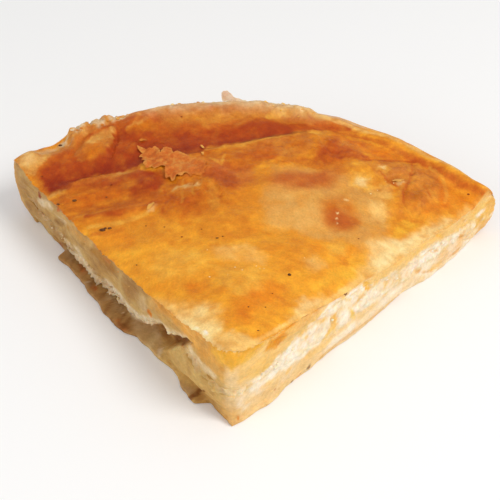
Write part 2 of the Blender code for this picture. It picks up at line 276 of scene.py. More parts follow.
# Finer ridges (and creases, below zero) of the crust: height, then a line of (x, y, half width).
CRUST_LINES = (
    (0.9, ((-19, 115, 1.5), (-8, 120, 2), (0, 122.5, 2.2), (10, 126, 2), (17, 129.5, 2), (25, 130.5, 1.4))),
    (0.8, ((-81, 94, 1.2), (-75, 95.5, 1.6), (-69, 97.5, 1.2))),
    (0.8, ((-66, 79.5, 1.6), (-52, 79, 2.4), (-36, 82.5, 1.6))),
    (0.7, ((-72, 99.5, 1.2), (-64, 101.5, 1.6), (-59, 103.5, 1.2))),
    (0.9, ((-69.5, 118, 1), (-68, 124, 1.3), (-64.5, 127.5, 1.3), (-59.2, 130.4, 0.9))),
    (-1.1, ((-56.8, 132, 0.8), (-56.4, 124, 0.9), (-57.2, 114, 0.8))),
    (0.8, ((-59.2, 130.4, 0.9), (-58.8, 124, 1.1), (-59.6, 116, 1))),
    (-0.8, ((-73, 116, 0.8), (-71.2, 123, 0.9), (-66.6, 129.4, 0.9), (-60, 132.6, 0.8))),
    (-0.45, ((65, 125, 0.8), (64.5, 118, 0.9), (62.5, 110, 0.9), (60, 104, 0.9), (60.5, 97, 0.8))),
    (0.3, ((67, 124, 1.4), (66.5, 117, 1.6), (64.5, 109, 1.4), (62.5, 103, 1.2))),
    (-0.4, ((51, 112.5, 0.7), (54, 107.5, 0.8), (58, 105.5, 0.7))),
    (0.4, ((53, 113, 1.2), (57.5, 108.5, 1.4), (60, 109.5, 1))),
    (0.3, ((73, 122.5, 1.1), (76.5, 118, 1.3), (78, 111, 1.3), (77, 104, 1))),
    (-0.6, ((47, 120, 0.8), (54, 122, 1), (60, 125, 1), (66, 126.5, 0.9), (72, 124, 0.9))),
    (0.6, ((49, 118.5, 1.4), (53, 117, 2), (57, 113, 1.4))),
    (-0.4, ((28, 127, 1.2), (31, 121, 1.4), (38, 119, 1.2), (46, 119.5, 0.8))),
    (0.3, ((69, 117, 1.2), (71.5, 111, 1.2), (70, 104, 1))),
    (-0.3, ((67.5, 112.5, 0.7), (69, 108, 0.8), (71, 104, 0.7))),
    (0.5, ((-15, 110, 1), (-11, 108, 1.2), (-11, 113, 0.9))),
    (0.5, ((-24, 92, 0.8), (-22.5, 88, 0.9), (-23, 84, 0.8))),
    (0.5, ((-12, 92, 0.8), (-9, 88.5, 0.9), (-8, 85, 0.8))),
    (-0.4, ((-39, 98, 0.8), (-36, 93, 0.9), (-34, 88, 0.8))),
    (0.4, ((40, 112, 1.2), (44, 108, 2.2), (47, 103, 1.6))),
    (-0.4, ((14, 48, 2.2), (12, 58, 2.6), (6, 68, 2.2))),
    (0.5, ((5, 141, 1.2), (8, 144, 1.4), (15, 144.5, 1.2))),
)

# The crumbly torn edge of the crust at the left part of the rim: points with half widths.
TORN_RIM = ((-77.5, 126, 2.4), (-75, 128.4, 3.6), (-69, 132.4, 4.2), (-61.5, 136.2, 3.2), (-55, 139.5, 1.6))

# Places where the crust is crumpled: centre, half lengths, turn, height of the crumples.
CRUMPLED = (
    (62, 108, 17, 13, 30, 0.85), (-16, 96, 14, 11, -30, 0.8), (32, 123, 12, 8, -10, 0.7),
    (12, 123, 12, 6, 15, 0.6), (-70, 133, 15, 7, 28, 0.35), (57, 89, 7, 8, 0, 0.5),
    (-28, 86, 10, 9, 0, 0.6), (4, 112, 12, 9, 10, 0.5), (-58, 101, 14, 5, 8, 0.5), (-63, 122, 7, 9, 0, 0.6),
    (-48, 132, 7, 5, 20, 0.5), (12, 147, 16, 4, -4, 0.5), (-34, 145, 12, 3, 10, 0.5),
    (-62, 88, 20, 8, 4, 0.25), (34, 66, 10, 6, 40, 0.25),
)
# The folds of a crumple, the broad ones first: height, length, seed, how many sizes of bumps.
CRUMPLE_FOLDS = ((0.7, 7.0, 91, 3), (0.5, 3.2, 95, 3), (0.25, 1.6, 98, 2))
# Heights and lengths of the lumps of the torn rim, and of the blisters and the grain of the crust.
RIM_LUMP = 2.0
RIM_LUMP_LENGTH = 4.6
RIM_CRUMB = 0.5
RIM_CRUMB_LENGTH = 2.4
BLISTER = 0.28
BLISTER_LENGTH = 9.0
GRAIN = 0.16
GRAIN_LENGTH = 2.6
# How far the lines on the crust wander off their points.
WANDER = 0.9
WANDER_LENGTH = 5.0
# The taut part where the cheese shows through the crust.
TAUT = (25, 89, 29, 20, -6)
# The part with fine streaks from left to right.
STREAKED = (-56, 88, 24, 10, 4)


def polar(x, y):
    """The share of the way from tip to rim, and of the way from the left cut to the right one."""
    return np.hypot(x, y) / RADIUS, (np.arctan2(x, y) + HALF_ANGLE) / (2.0 * HALF_ANGLE)


def dome_height(x, y):
    """The plain form of the top: three lines from tip to rim, and a curve across them."""
    share, side = polar(x, y)
    share = np.minimum(share, 1.05)
    sag = 4.0 * share * (1.0 - share)
    left = TIP_HEIGHT + (LEFT_CORNER_HEIGHT - TIP_HEIGHT) * share - LEFT_SAG * sag
    right = TIP_HEIGHT + (RIGHT_CORNER_HEIGHT - TIP_HEIGHT) * share - RIGHT_SAG * sag
    middle = TIP_HEIGHT + (RIM_MIDDLE_HEIGHT - TIP_HEIGHT) * share - MIDDLE_SAG * sag
    side = np.clip(side, -0.05, 1.05)
    return ((1.0 - side) * (1.0 - 2.0 * side) * left
            + 4.0 * side * (1.0 - side) * middle
            + side * (2.0 * side - 1.0) * right)


def tautness(x, y):
    return smooth((1.25 - oval_distance(x, y, TAUT)) / 0.5)


def crust_relief(x, y):
    """The solids' relief, then ridges, creases, crumples and fine blisters of the crust."""
    share, side = polar(x, y)
    reach = share * RADIUS
    height = TOP_WAVE * waves(x, y, TOP_WAVE_LENGTH, 1.0) * smooth(reach / 40.0)
    for *oval, rise in TOP_SWELLS:
        height += rise * np.exp(-1.6 * oval_distance(x, y, oval) ** 2)
    edge = 1.0 + 0.22 * waves(x, y, 16.0, 5.0)
    height += TORN_SHEET_HEIGHT * smooth((edge - oval_distance(x, y, TORN_SHEET)) / TORN_SHEET_SLOPE)
    degrees = (side - 0.5) * math.degrees(2.0 * HALF_ANGLE)
    height += (BEAD_HEIGHT + read_profile(RIM_LIFT, degrees)) * bump(reach, BEAD_RADIUS, BEAD_WIDTH)
    height -= GROOVE_DEPTH * bump(reach, GROOVE_RADIUS, GROOVE_WIDTH) * rising(side, 0.3, 0.3)
    wander_x = x + WANDER * fractal(x, y, WANDER_LENGTH, 61)
    wander_y = y + WANDER * fractal(x, y, WANDER_LENGTH, 71)
    for rise, points in CRUST_LINES:
        broken = 0.75 + 0.5 * noise(x / 4.0, y / 4.0, 81)
        height += rise * broken * np.exp(-line_distance(wander_x, wander_y, points) ** 2)
    for *oval, rise in CRUMPLED:
        fold = 0.0
        for size, length, seed, octaves in CRUMPLE_FOLDS:
            fold = fold + size - 2.0 * size * np.abs(fractal(wander_x, wander_y, length, seed, octaves))
        height += rise * smooth((1.2 - oval_distance(x, y, oval)) / 0.6) * fold
    crumbly = np.exp(-line_distance(wander_x, wander_y, TORN_RIM) ** 2)
    lumpy = RIM_LUMP * pebbles(x, y, RIM_LUMP_LENGTH, 121)
    lumpy += RIM_CRUMB * pebbles(x, y, RIM_CRUMB_LENGTH, 122)
    height += crumbly * (lumpy - 0.6)
    plain = 1.0 - 0.75 * tautness(x, y)
    height += BLISTER * plain * fractal(x, y, BLISTER_LENGTH, 101, 3)
    height += GRAIN * plain * fractal(x, y, GRAIN_LENGTH, 111, 2)
    return height


def top_height(x, y):
    """The crust's height, with all its relief, rounded off at the rim."""
    past = np.hypot(x, y) - (RADIUS - RIM_ROUNDING)
    side = polar(x, y)[1]
    drop = RIM_DROP_LEFT + (RIM_DROP - RIM_DROP_LEFT) * smooth(side / 0.12)
    return dome_height(x, y) + crust_relief(x, y) - drop * np.maximum(0.0, past / RIM_ROUNDING) ** 2


def layer_height(x, y, left_points, right_points, seed):
    """A surface between two layers, at a share of the height that changes along each cut."""
    share, side = polar(x, y)
    weight = smooth(side)
    fraction = (1.0 - weight) * read_profile(left_points, share) + weight * read_profile(right_points, share)
    return fraction * dome_height(x, y) + LAYER_WAVE * waves(x, y, LAYER_WAVE_LENGTH, seed)


def cheese_floor(x, y):
    return layer_height(x, y, CHEESE_FLOOR_LEFT, CHEESE_FLOOR_RIGHT, 2.0)


def cheese_roof(x, y):
    return layer_height(x, y, CHEESE_ROOF_LEFT, CHEESE_ROOF_RIGHT, 3.0)


def wedge_place(u, v):
    """Lays the unit square onto the wedge: u = 0 is the left cut, v = 0 the right cut."""
    x = u * np.sqrt(1.0 - v * v / 2.0)
    y = v * np.sqrt(1.0 - u * u / 2.0)
    turn = (np.arctan2(x, y) / (math.pi / 2.0) * 2.0 - 1.0) * HALF_ANGLE
    reach = np.hypot(x, y) * RADIUS
    return reach * np.sin(turn), reach * np.cos(turn)


def depths(x, y):
    """How far inside the left cut, the right cut and the rim a place lies."""
    return x * COSINE + y * SINE, y * SINE - x * COSINE, RADIUS - np.hypot(x, y)


def pushed(x, y, outs, blend):
    """Moves a place out of the wedge's sides, by less the further inside it lies."""
    left, right, rim = [out * bump(depth, 0.0, blend) for out, depth in zip(outs, depths(x, y))]
    rim = rim / np.maximum(np.hypot(x, y), 1.0)
    return x + (right - left) * COSINE + rim * x, y - (left + right) * SINE + rim * y


# Relief of the cuts: distance from the tip, height, half length, half height, turn, how far out.
LEFT_FEATURES = (
    (21, 8.5, 13, 5, -8, 2), (20, 3.4, 9, 1.3, -8, -2), (37, 4, 10, 2.5, 0, 0.8),
    (117, 15.5, 6, 1.8, -12, -1.8), (64, 17.5, 6, 3, -35, -0.6), (78, 20.5, 6, 2.5, -15, -0.5),
    (52, 22, 5, 1.6, -25, -0.9), (12, 13.5, 6, 1.4, -10, -0.9), (100, 16, 12, 2.5, -5, 0.8),
    (88, 11, 9, 2.2, -8, 0.9), (131, 16, 7, 3, -20, 0.9), (140, 12, 6, 4, -50, -0.8),
    (44, 21, 9, 2.5, -15, 0.7), (18, 21, 9, 2, -5, 0.8),
)
RIGHT_FEATURES = (
    (22, 25, 5, 1.8, -8, -0.9), (29, 27.8, 4, 1, -5, -0.7), (44.5, 19.8, 3.4, 1.5, -20, -0.4),
    (51.5, 13.5, 1.8, 4, 8, -0.4), (62.5, 12, 1.3, 3, 10, -0.4), (71, 20, 4.5, 1.4, -50, -0.6),
    (116.5, 17.5, 4, 1.3, -42, -0.6), (103.5, 7, 3.5, 1, -40, -0.9), (131, 8, 4.5, 1.3, -35, -1),
    (57, 5, 8, 1.6, -5, 0.8), (88, 17, 10, 2, -12, 0.7), (36, 24, 10, 1.6, -8, 0.6),
    (12, 21, 8, 1.5, -6, 0.6), (125, 12, 10, 1.6, -12, 0.7), (146, 9, 5, 1.4, -30, 0.8),
    (14, 7, 10, 1.6, -5, 0.6), (80, 5, 12, 1.2, 3, -0.7), (44, 5.5, 10, 1.3, 2, 0.6),
)
# How far the base sheet stands out of each cut: distance from the tip, distance out.
LEFT_BASE = (
    (0, -0.4), (14, -0.5), (18, 4.2), (24, 3.4), (34, 1.2), (44, 2), (57, 2.3), (63, 5.2), (76, 5.2),
    (84, 4.2), (104, 2.8), (115.5, 3.4), (117, -1.2), (122, -1.6), (132, -1.5), (142, -1.5), (152, -0.6),
)
RIGHT_BASE = (
    (0, 0), (10, 0.8), (19, 1.7), (28, 0.3), (40, 0.4), (50, -0.2), (64, 0.5), (80, -0.2), (96, -1.1),
    (112, 0.8), (128, 0.5), (140, -1), (148, -2), (152, -0.8),
)
# The ragged lower edge of what hangs over the left cut's hollow: distance from the tip, height.
HANGING_EDGE = (
    (20, 24), (26, 22), (34, 17.4), (38.5, 14), (41, 11.8), (42.2, 14.6), (44.2, 15.4), (48, 12.2),
    (51, 9.8), (58, 6), (66, 5), (80, 8),
)
# How far the rim's wall stands out, from the base (0) to the crust (1).
RIM_PROFILE = (
    (0, -6), (0.07, -2.6), (0.14, -0.8), (0.27, 0.8), (0.42, 1.6), (0.53, 2.2), (0.66, 2.3), (0.80, 1.7),
    (0.93, 0.6), (1, -0.6),
)
# The crust's thin edge at a cut: depths below the top, and how far it stands out there.
LIP_DEPTHS = (0.0, 0.3, 0.75, 1.1, 1.6, 3.0)
LIP_OUTS = (0.75, 1.0, 0.8, -0.3, -0.55, 0.0)
# The hollow of the left cut: where its edge starts, at what height, how it slants and how long it is.
HOLLOW_EDGE = 25.0
HOLLOW_TOP = 20.0
HOLLOW_SLANT = 1.05
HOLLOW_LENGTH = 22.0
HOLLOW_DEPTH = 6.5
HOLLOW_DEEPEST = 7.0
# The recess below the left cut's overhang, browned and with painted shade: from, to, fading, depth and height
# of its lumps.
RECESS_START = 50.0
RECESS_END = 112.0
RECESS_FADE = 12.0
RECESS_DEPTH = 3.2
RECESS_LUMPS = 1.6
# The left cut as a whole is drawn in a little between its ends, and undercut from here on.
LEFT_DRAWN_IN = 0.9
UNDERCUT_START = 115.0
UNDERCUT_HEIGHT = 9.0
UNDERCUT_DEPTH = 1.2
# Both cuts draw back at their corners with the rim: from where, over which length.
CORNER_START = 143.0
CORNER_LENGTH = 8.0
CORNER_UNDERCUT = 3.0
CORNER_REACH = math.radians(9.0)
# The crust is drawn back at the tip, where the edge between the cuts is rounded.
CRUST_TIP_BACK = 1.3
TIP_LENGTH = 6.5
TIP_ROUNDING = 2.2
# Thickness of the base sheet's flaps, the height over which they end, and their uneven edge.
FLAP_HEIGHT = 1.1
FLAP_SLOPE = 1.1
FLAP_UNEVEN = 0.7
# Thickness of a pastry sheet seen at a cut, of the thinner ones between, and at the rim.
SHEET_PITCH = 2.7
FINE_PITCH = 1.3
RIM_PITCH = 4.2


def sheets(along, height, pitch, seed):
    """The rounded edges of stacked sheets, 1 at an edge and 0 in the cleft between two."""
    drift = 1.6 * fractal(along, height, 26.0, seed, 2) + 0.5 * noise(along / 7.0, height / 4.0, seed + 5)
    turn = math.pi * (height + drift * 1.4) / pitch
    return np.sqrt(np.abs(np.sin(turn)) + 0.02)


def dough_relief(along, height, seed):
    """Folded sheets of dough seen at a cut."""
    fading = 0.5 + 0.5 * noise(along / 11.0, height / 4.0, seed + 40)
    folds = 0.75 * fading * sheets(along, height, SHEET_PITCH, seed)
    folds += 0.25 * sheets(along, height, FINE_PITCH, seed + 9)
    return folds + 0.7 * fractal(along, height * 2.0, 13.0, seed + 20, 4) - 0.5


def crumb_relief(along, height, seed):
    """Crumbly cheese seen at a cut: lumps of many sizes, none in line with another."""
    shift = 2.6 * fractal(along, height, 7.0, seed + 30, 3)
    lumps = 0.9 * pebbles(along + shift, height * 1.1 - shift, 5.2, seed + 3)
    lumps = lumps + 0.45 * pebbles(along - shift, height + shift, 2.3, seed + 4)
    return lumps + 1.1 * fractal(along, height, 6.0, seed + 50, 4) - 0.9


def lip(along, below, seed):
    """The crust's thin edge: it stands out over the dough, with a ragged outline."""
    ragged = 0.5 * in_line(fractal, along, 3.0, seed, 4) + 0.5 * in_line(pebbles, along, 1.6, seed + 2)
    near_tip = falling(along, 32.0, 12.0)
    return np.interp(below, LIP_DEPTHS, LIP_OUTS) * (0.8 + ragged * (1.0 + 0.8 * near_tip))


def hollow_depth(along, height):
    """Depth of the left cut's hollow: it starts at a sharp slanting edge and runs out to the rim."""
    uneven = along + 0.9 * fractal(along, height, 4.0, 350, 3)
    past = uneven - HOLLOW_EDGE - HOLLOW_SLANT * (HOLLOW_TOP - height)
    edges, heights = zip(*HANGING_EDGE)
    under = np.interp(along, edges, heights) + 1.0 * fractal(along, height * 0.3, 2.2, 355, 3) - height
    fading = smooth((past - HOLLOW_DEEPEST) / (HOLLOW_LENGTH - HOLLOW_DEEPEST))
    shape = smooth(past / 2.0) * (1.0 - fading)
    return HOLLOW_DEPTH * shape * smooth(under / 1.0) * rising(height, 1.0, 2.0)


def browned_share(along):
    """1 along the sunken part of the left cut's lower pastry, browned and with painted shade, and 0 towards
    its ends.
    """
    return rising(along, RECESS_START, RECESS_FADE) * (1.0 - rising(along, RECESS_END, RECESS_FADE))


def crusty(along, height):
    """The rough lumps and ridges of the browned part, between -1 and 1."""
    return fractal(along, height * 1.6, 3.4, 345, 4) + 0.4 * fractal(along, height * 0.4, 1.8, 346, 2)


def add_features(out, along, height, features):
    for *oval, rise in features:
        out = out + rise * np.exp(-oval_distance(along, height, oval) ** 2)
    return out


def base_share(along, z):
    """1 in the base sheet, whose upper edge is uneven, and 0 above it."""
    base_height = FLAP_HEIGHT + FLAP_UNEVEN * in_line(fractal, along, 9.0, 340, 2)
    return falling(z, base_height + FLAP_SLOPE, FLAP_SLOPE)


def left_out(along, z, floor, layer):
    """How far a layer stands out of the left cut."""
    relief = crumb_relief if layer == "cheese" else dough_relief
    drawn_in = LEFT_DRAWN_IN * rising(along, 8.0, 20.0) * (1.0 - rising(along, 125.0, 20.0))
    out = relief(along, z, 300) - drawn_in
    out -= hollow_depth(along, z)
    undercut = UNDERCUT_DEPTH * rising(along, UNDERCUT_START, 6.0)
    out -= undercut * falling(z, UNDERCUT_HEIGHT, UNDERCUT_HEIGHT)
    if layer == "lower":
        recess_share = browned_share(along)
        out -= RECESS_DEPTH * recess_share * smooth((z - 1.5) / np.maximum(floor - 2.5, 1.0)) ** 0.7
        out += RECESS_LUMPS * recess_share * crusty(along, z)
    out = add_features(out, along, z + 1.1 * fractal(along, z, 6.0, 320), LEFT_FEATURES)
    base_out = read_profile(LEFT_BASE, along + 0.8 * fractal(along, z, 5.0, 325, 2))
    base_out = base_out + 0.6 * fractal(along, z * 0.3, 4.5, 330, 4) - 0.35
    return out + base_share(along, z) * (base_out - out)


def right_out(along, z, beside_cheese):
    """How far a layer stands out of the right cut, where the cheese's crumbs spill over its edges."""
    crumbs = 0.6 * crumb_relief(along, z, 400)
    out = dough_relief(along, z, 400)
    out = out + (crumbs - out) * beside_cheese
    out = add_features(out, along, z + 0.5 * fractal(along, z, 4.0, 420), RIGHT_FEATURES)
    base_out = read_profile(RIGHT_BASE, along) + 0.3 * fractal(along, z, 4.0, 335, 3)
    return out + base_share(along, z) * (base_out - out)


def rim_out(x, y, z, top):
    """How far a layer stands out of the rim, which is undercut at the left corner."""
    turn = np.arctan2(x, y)
    arc = turn * RADIUS
    out = read_profile(RIM_PROFILE, z / np.maximum(top, 1.0))
    corner = 1.0 - rising(turn, -HALF_ANGLE, CORNER_REACH)
    out = out - CORNER_UNDERCUT * corner * (1.0 - z / np.maximum(top, 1.0)) ** 2
    left_depth, right_depth, _ = depths(x, y)
    inland = smooth(right_depth / 12.0) * smooth(left_depth / 12.0)
    out = out + 0.5 * fractal(arc, z * 2.0, 14.0, 500, 3)
    return out + 0.3 * inland * (sheets(arc, z, RIM_PITCH, 510) - 0.6)


def side_outs(x, y, z, layer):
    """How far a layer stands out of the left cut, the right cut and the rim at a place and height."""
    along = np.hypot(x, y)
    floor = cheese_floor(x, y)
    roof = cheese_roof(x, y)
    top = top_height(x, y)
    below = np.maximum(top - z, 0.0)
    beside_cheese = 1.0 if layer == "cheese" else np.maximum(bump(z, floor, 1.8), bump(z, roof, 1.8))
    left = left_out(along, z, floor, layer)
    right = right_out(along, z, beside_cheese)

    if layer == "upper":
        drawn_back = CRUST_TIP_BACK * smooth(1.0 - along / 10.0) * bump(below, 0.0, 2.6)
        left = left + lip(along, below, 310) - drawn_back
        right_lip = 0.6 - 0.4 * rising(along, 40.0, 20.0)
        right = right + right_lip * lip(along, below, 410) - drawn_back
    tip = np.maximum(1.0 - along / TIP_LENGTH, 0.0) ** 2
    rounding = TIP_ROUNDING * tip * (0.3 + 0.7 * rising(z, 1.0, 5.0))
    left = left * (1.0 - 0.7 * tip) - rounding
    right = right * (1.0 - 0.7 * tip) - rounding

    past = rising(along, CORNER_START, CORNER_LENGTH)
    under = rising(along, 134.0, 6.0) * falling(z, 7.0, 7.0)
    left = left * (1.0 - 0.7 * past) - 1.0 * under
    right = right * (1.0 - 0.4 * past) - 1.2 * rising(along, 141.0, 5.0) * under
    return left, right, rim_out(x, y, z, top)


def square_ring(cells, inset):
    """Points round the unit square, drawn in by an inset: left cut, rim, then right cut to the tip."""
    steps = np.arange(cells) / cells
    near = np.zeros(cells)
    far = np.ones(cells)
    u = np.concatenate((near, steps, far, 1.0 - steps))
    v = np.concatenate((steps, far, 1.0 - steps, near))
    return inset + (1.0 - 2.0 * inset) * u, inset + (1.0 - 2.0 * inset) * v


def square_grid(cells, inset):
    """Points inside a square ring, row by row."""
    steps = inset + (1.0 - 2.0 * inset) * np.arange(1, cells) / cells
    u, v = np.meshgrid(steps, steps, indexing="ij")
    return u.ravel(), v.ravel()


def grid_faces(ring, inner):
    """Quads of a square patch whose outline is a ring of vertices and whose inside is a grid."""
    cells = len(ring) // 4
    index = np.empty((cells + 1, cells + 1), dtype=np.int64)
    index[0, :-1] = ring[:cells]
    index[:-1, -1] = ring[cells:2 * cells]
    index[-1, :0:-1] = ring[2 * cells:3 * cells]
    index[:0:-1, 0] = ring[3 * cells:]
    index[1:-1, 1:-1] = inner.reshape(cells - 1, cells - 1)
    return index_quads(index)


def index_quads(index):
    """Quads between neighbours in a grid of vertex numbers."""
    corners = (index[:-1, :-1], index[1:, :-1], index[1:, 1:], index[:-1, 1:])
    return np.stack(corners, -1).reshape(-1, 4)


def ring_faces(upper, lower):
    return np.stack((upper, np.roll(upper, -1), np.roll(lower, -1), lower), -1)


def halving_faces(fine, coarse):
    """Triangles between a ring and the next one inside it, which has half as many vertices."""
    first = fine[0::2]
    middle = fine[1::2]
    last = np.roll(first, -1)
    following = np.roll(coarse, -1)
    parts = ((first, coarse, middle), (middle, coarse, following), (middle, following, last))
    return np.concatenate([np.stack(part, -1) for part in parts])


class Body:
    """A closed body in grid coordinates: vertices (u, v, level) and faces that number them."""

    def __init__(self, cells, levels, fine_top):
        self.cells = cells
        self.levels = levels
        self.parts = []
        self.count = 0
        self.faces = []
        rings = [self.add(square_ring(cells, 0.0), level) for level in range(levels)]
        for upper, lower in zip(rings, rings[1:]):
            self.faces.append(ring_faces(upper, lower))
        self.side_faces = (levels - 1) * 4 * cells
        if fine_top:
            self.faces.append(grid_faces(rings[0], self.add(square_grid(cells, 0.0), 0)))
        else:
            self.add_coarse_patch(rings[0], 0, False)
        self.add_coarse_patch(rings[-1], levels - 1, True)

    def add(self, places, level):
        u, v = places
        self.parts.append(np.stack((u, v, np.full(len(u), float(level))), -1))
        self.count += len(u)
        return np.arange(self.count - len(u), self.count)

    def add_coarse_patch(self, ring, level, downward):
        cells = self.cells
        made = []
        for inset in PATCH_INSETS:
            cells //= 2
            inside = self.add(square_ring(cells, inset), level)
            made.append(halving_faces(ring, inside))
            ring = inside
        made.append(grid_faces(ring, self.add(square_grid(cells, PATCH_INSETS[-1]), level)))
        self.faces += [faces[:, ::-1] for faces in made] if downward else made

    def coordinates(self):
        return np.concatenate(self.parts).T

    def slots(self, lip_rings):
        """Material of each face: 1 on the cuts below the lip, where the inside shows, and 0 elsewhere."""
        around = 4 * self.cells
        number = np.arange(self.side_faces)
        side = number % around
        on_cut = (side < self.cells) | (side >= 3 * self.cells)
        slots = np.zeros(sum(len(part) for part in self.faces))
        slots[:self.side_faces] = on_cut & (number >= lip_rings * around)
        return slots


def make_mesh(name, places, faces, materials, slots=None):
    """A mesh object from places in millimetres and arrays of quads or triangles."""
    mesh = bpy.data.meshes.new(name)
    loops = np.concatenate([part.ravel() for part in faces]).astype(np.int32)
    sizes = np.concatenate([np.full(len(part), part.shape[1]) for part in faces])
    starts = np.concatenate(((0,), np.cumsum(sizes)[:-1])).astype(np.int32)
    mesh.vertices.add(len(places))
    mesh.vertices.foreach_set("co", ((places + TIP_PLACE) * MM).astype(np.float32).ravel())
    mesh.loops.add(len(loops))
    mesh.loops.foreach_set("vertex_index", loops)
    mesh.polygons.add(len(starts))
    mesh.polygons.foreach_set("loop_start", starts)
    if slots is not None:
        mesh.polygons.foreach_set("material_index", slots.astype(np.int32))
    mesh.update(calc_edges=True)
    mesh.validate()
    mesh.shade_smooth()
    mesh.set_sharp_from_angle(angle=SHARP_ANGLE)
    for material in materials:
        mesh.materials.append(material)
    made = bpy.data.objects.new(name, mesh)
    bpy.context.collection.objects.link(made)
    return made


def set_paint(made, colours, dullness):
    """Stores each vertex's colour, and how dull and rough its surface is."""
    mesh = made.data
    paint = mesh.color_attributes.new("paint", "FLOAT_COLOR", "POINT")
    opaque = np.concatenate((np.clip(colours, 0.0, 1.0), np.ones((len(colours), 1))), axis=1)
    paint.data.foreach_set("color", opaque.astype(np.float32).ravel())
    dull = mesh.attributes.new("dull", "FLOAT", "POINT")
    dull.data.foreach_set("value", np.broadcast_to(dullness, len(colours)).astype(np.float32))


def flat_paint(name, count):
    return np.tile(linear(name), (count, 1))


def tint(colours, name, weight):
    """Turns colours towards a named one, by a weight from 0 to 1."""
    return colours + (linear(name) - colours) * np.clip(weight, 0.0, 1.0)[:, None]


def wander(x, y, reach, seed, length=9.0):
    """Places shifted this way and that, so that what is painted there has a natural edge."""
    shifts = []
    for part in (seed, seed + 10):
        broad = fractal(x, y, length, part, 3)
        fine = fractal(x, y, 0.25 * length, part + 5, 3)
        shifts.append(reach * (0.75 * broad + 0.4 * fine))
    return x + shifts[0], y + shifts[1]


def patchy(x, y, seed, length):
    """Strength of the paint from place to place: it is rubbed thin here and there."""
    return 0.92 + 0.6 * fractal(x, y, length, seed, 4)


def soft_edge(distance, softness):
    """1 well inside a distance of 1, 0 well outside it, and a soft edge between."""
    return smooth((1.0 + softness / 2.0 - distance) / softness)


def paint_areas(colours, x, y, areas, seed, reach=1.0, length=9.0):
    """Soft-edged areas: colour, strength, width of the soft edge, outline."""
    soft = wander(x, y, 3.6 * reach, seed, length)
    sharp = wander(x, y, 2.4 * reach, seed + 20, 0.6 * length)
    thin = patchy(x, y, seed + 40, 0.45 * length)
    for name, strength, softness, outline in areas:
        px, py = sharp if softness < 3.0 else soft
        inside = smooth(0.5 + inside_distance(px, py, outline) / softness)
        colours = tint(colours, name, strength * inside * thin)
    return colours


def paint_ovals(colours, x, y, ovals, seed, reach=1.0, length=9.0):
    """Soft-edged patches: colour, centre, half lengths, turn, strength, softness."""
    wide = wander(x, y, 4.5 * reach, seed, length)
    close = wander(x, y, 2.2 * reach, seed + 20, 0.6 * length)
    thin = patchy(x, y, seed + 40, 0.45 * length)
    for name, *oval, strength, softness in ovals:
        px, py = close if oval[3] < 4.0 else wide
        inside = soft_edge(oval_distance(px, py, oval), softness)
        colours = tint(colours, name, strength * inside * thin)
    return colours


def paint_lines(colours, x, y, lines, seed, reach=1.2, length=9.0):
    """Soft-edged bands along lines: colour, strength, softness, points with half widths."""
    thin = patchy(x, y, seed + 40, 0.45 * length)
    x, y = wander(x, y, reach, seed, 0.6 * length)
    for name, strength, softness, points in lines:
        inside = soft_edge(line_distance(x, y, points), softness)
        colours = tint(colours, name, strength * inside * thin)
    return colours


